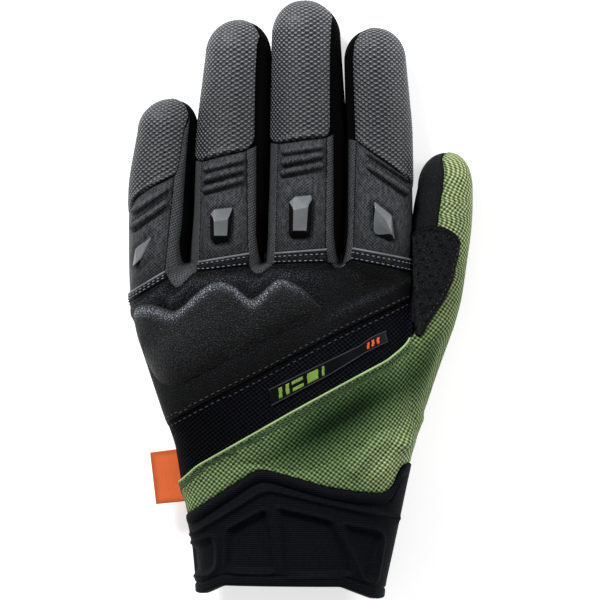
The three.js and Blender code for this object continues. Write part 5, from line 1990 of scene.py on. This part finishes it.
@dataclass
class Studio:
    """Pale floor, soft lights and the camera straight above the glove."""

    pixel: float = 0.35  # millimetres of the glove to a pixel of the photograph
    frame: int = 600
    distance: float = 1.6
    centre: tuple[float, float] = (-0.000175, -0.00035)
    level: float = 0.016  # height of the glove that the framing is measured at
    sensor: float = 36.0
    floor_glow: float = 0.62  # light from the white table itself

    def add_light(self, name: str, place: tuple[float, float, float], size: float, power: float) -> None:
        """A square soft light that points at the glove."""
        data = bpy.data.lights.new(name, "AREA")
        data.shape = "SQUARE"
        data.size = size
        data.energy = power
        light = bpy.data.objects.new(name, data)
        light.location = place
        direction = -np.array(place)
        yaw = np.arctan2(direction[1], direction[0])
        pitch = np.arctan2(np.hypot(direction[0], direction[1]), -direction[2])
        light.rotation_euler = (0.0, -pitch, yaw)
        bpy.context.scene.collection.objects.link(light)

    def build(self) -> None:
        """Camera, lights, sky and floor."""
        scene = bpy.context.scene
        data = bpy.data.cameras.new("camera")
        data.sensor_width = self.sensor
        data.lens = self.sensor * self.distance / (self.frame * self.pixel * MM)
        data.clip_end = 20.0
        camera = bpy.data.objects.new("camera", data)
        camera.location = (*self.centre, self.level + self.distance)
        scene.collection.objects.link(camera)
        scene.camera = camera
        scene.view_settings.view_transform = "Standard"
        self.add_light("key_light", (-0.75, 1.15, 0.95), 0.45, 27.0)
        self.add_light("fill_light", (1.2, 0.5, 0.8), 0.6, 8.0)
        world = bpy.data.worlds.new("studio")
        world.use_nodes = True
        world.node_tree.nodes["Background"].inputs[0].default_value = (1.0, 1.0, 1.0, 1.0)
        world.node_tree.nodes["Background"].inputs[1].default_value = 0.28
        scene.world = world
        self.add_floor()

    def add_floor(self) -> None:
        """A wide, plain, pale floor."""
        mesh = bpy.data.meshes.new("floor")
        half = 3.0
        corners = [(-half, -half, 0.0), (half, -half, 0.0), (half, half, 0.0), (-half, half, 0.0)]
        mesh.from_pydata(corners, [], [(0, 1, 2, 3)])
        graph = Graph("pale_floor")
        cloud = graph.noise(6.0, 2.0)
        color = graph.mix(cloud, (0.90, 0.90, 0.90, 1.0), (0.93, 0.93, 0.93, 1.0))
        look = graph.finish(color, 0.7, None, Specular_IOR_Level=0.2, Emission_Strength=self.floor_glow)
        graph.shader.inputs["Emission Color"].default_value = (1.0, 1.0, 1.0, 1.0)
        mesh.materials.append(look)
        floor = bpy.data.objects.new("floor", mesh)
        floor.location = (0.0, 0.0, 0.0)
        bpy.context.scene.collection.objects.link(floor)


def main() -> None:
    """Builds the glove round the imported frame."""
    logging.basicConfig(level=logging.INFO, format="%(name)s: %(message)s")
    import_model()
    Studio().build()
    look = Finishes()
    skin = Skin(HAND, DIGITS)
    fingers = {name: Finger(name, DIGITS[name], **parts) for name, parts in FINGERS.items()}
    for finger in fingers.values():
        finger.build(look, skin)
    little, ring, middle, index = fingers.values()
    SideWalls(little, ring, WEBS[0], 64.0).build(look, skin)
    SideWalls(ring, middle, WEBS[1], 72.0).build(look, skin)
    SideWalls(middle, index, WEBS[2], index.digit.end).build(look, skin)
    back = HandBack(skin, KNUCKLE_FOOT, GREEN_EDGE, WEB_CORNER, THUMB_SEAM, CUFF_TOP,
                    (LABEL_TOP, LABEL_BOTTOM))
    back.build_leather(look, fingers, WEBS)
    back.build_band(look)
    back.build_green(look)
    back.build_label(look)
    rows = np.array(GUARD)
    KnuckleGuard(rows[:, 0:2].tolist(), rows[:, 2:4].tolist(), rows[:, 4].tolist()).build(look, skin)
    thumb = Thumb(DIGITS["thumb"], THUMB_SEAM, (PATCH_LEFT, PATCH_RIGHT))
    thumb.build_front(look)
    thumb.build_patch(look)
    Cuff(HAND, CUFF_TOP, HEM, CUFF_WINDOWS, CUFF_RIDGE).build(look)
    Palm(skin, CUFF_TOP, THUMB_UNDER).build(look)
    Tag(TAG).build(look)


if __name__ == "__main__":
    main()
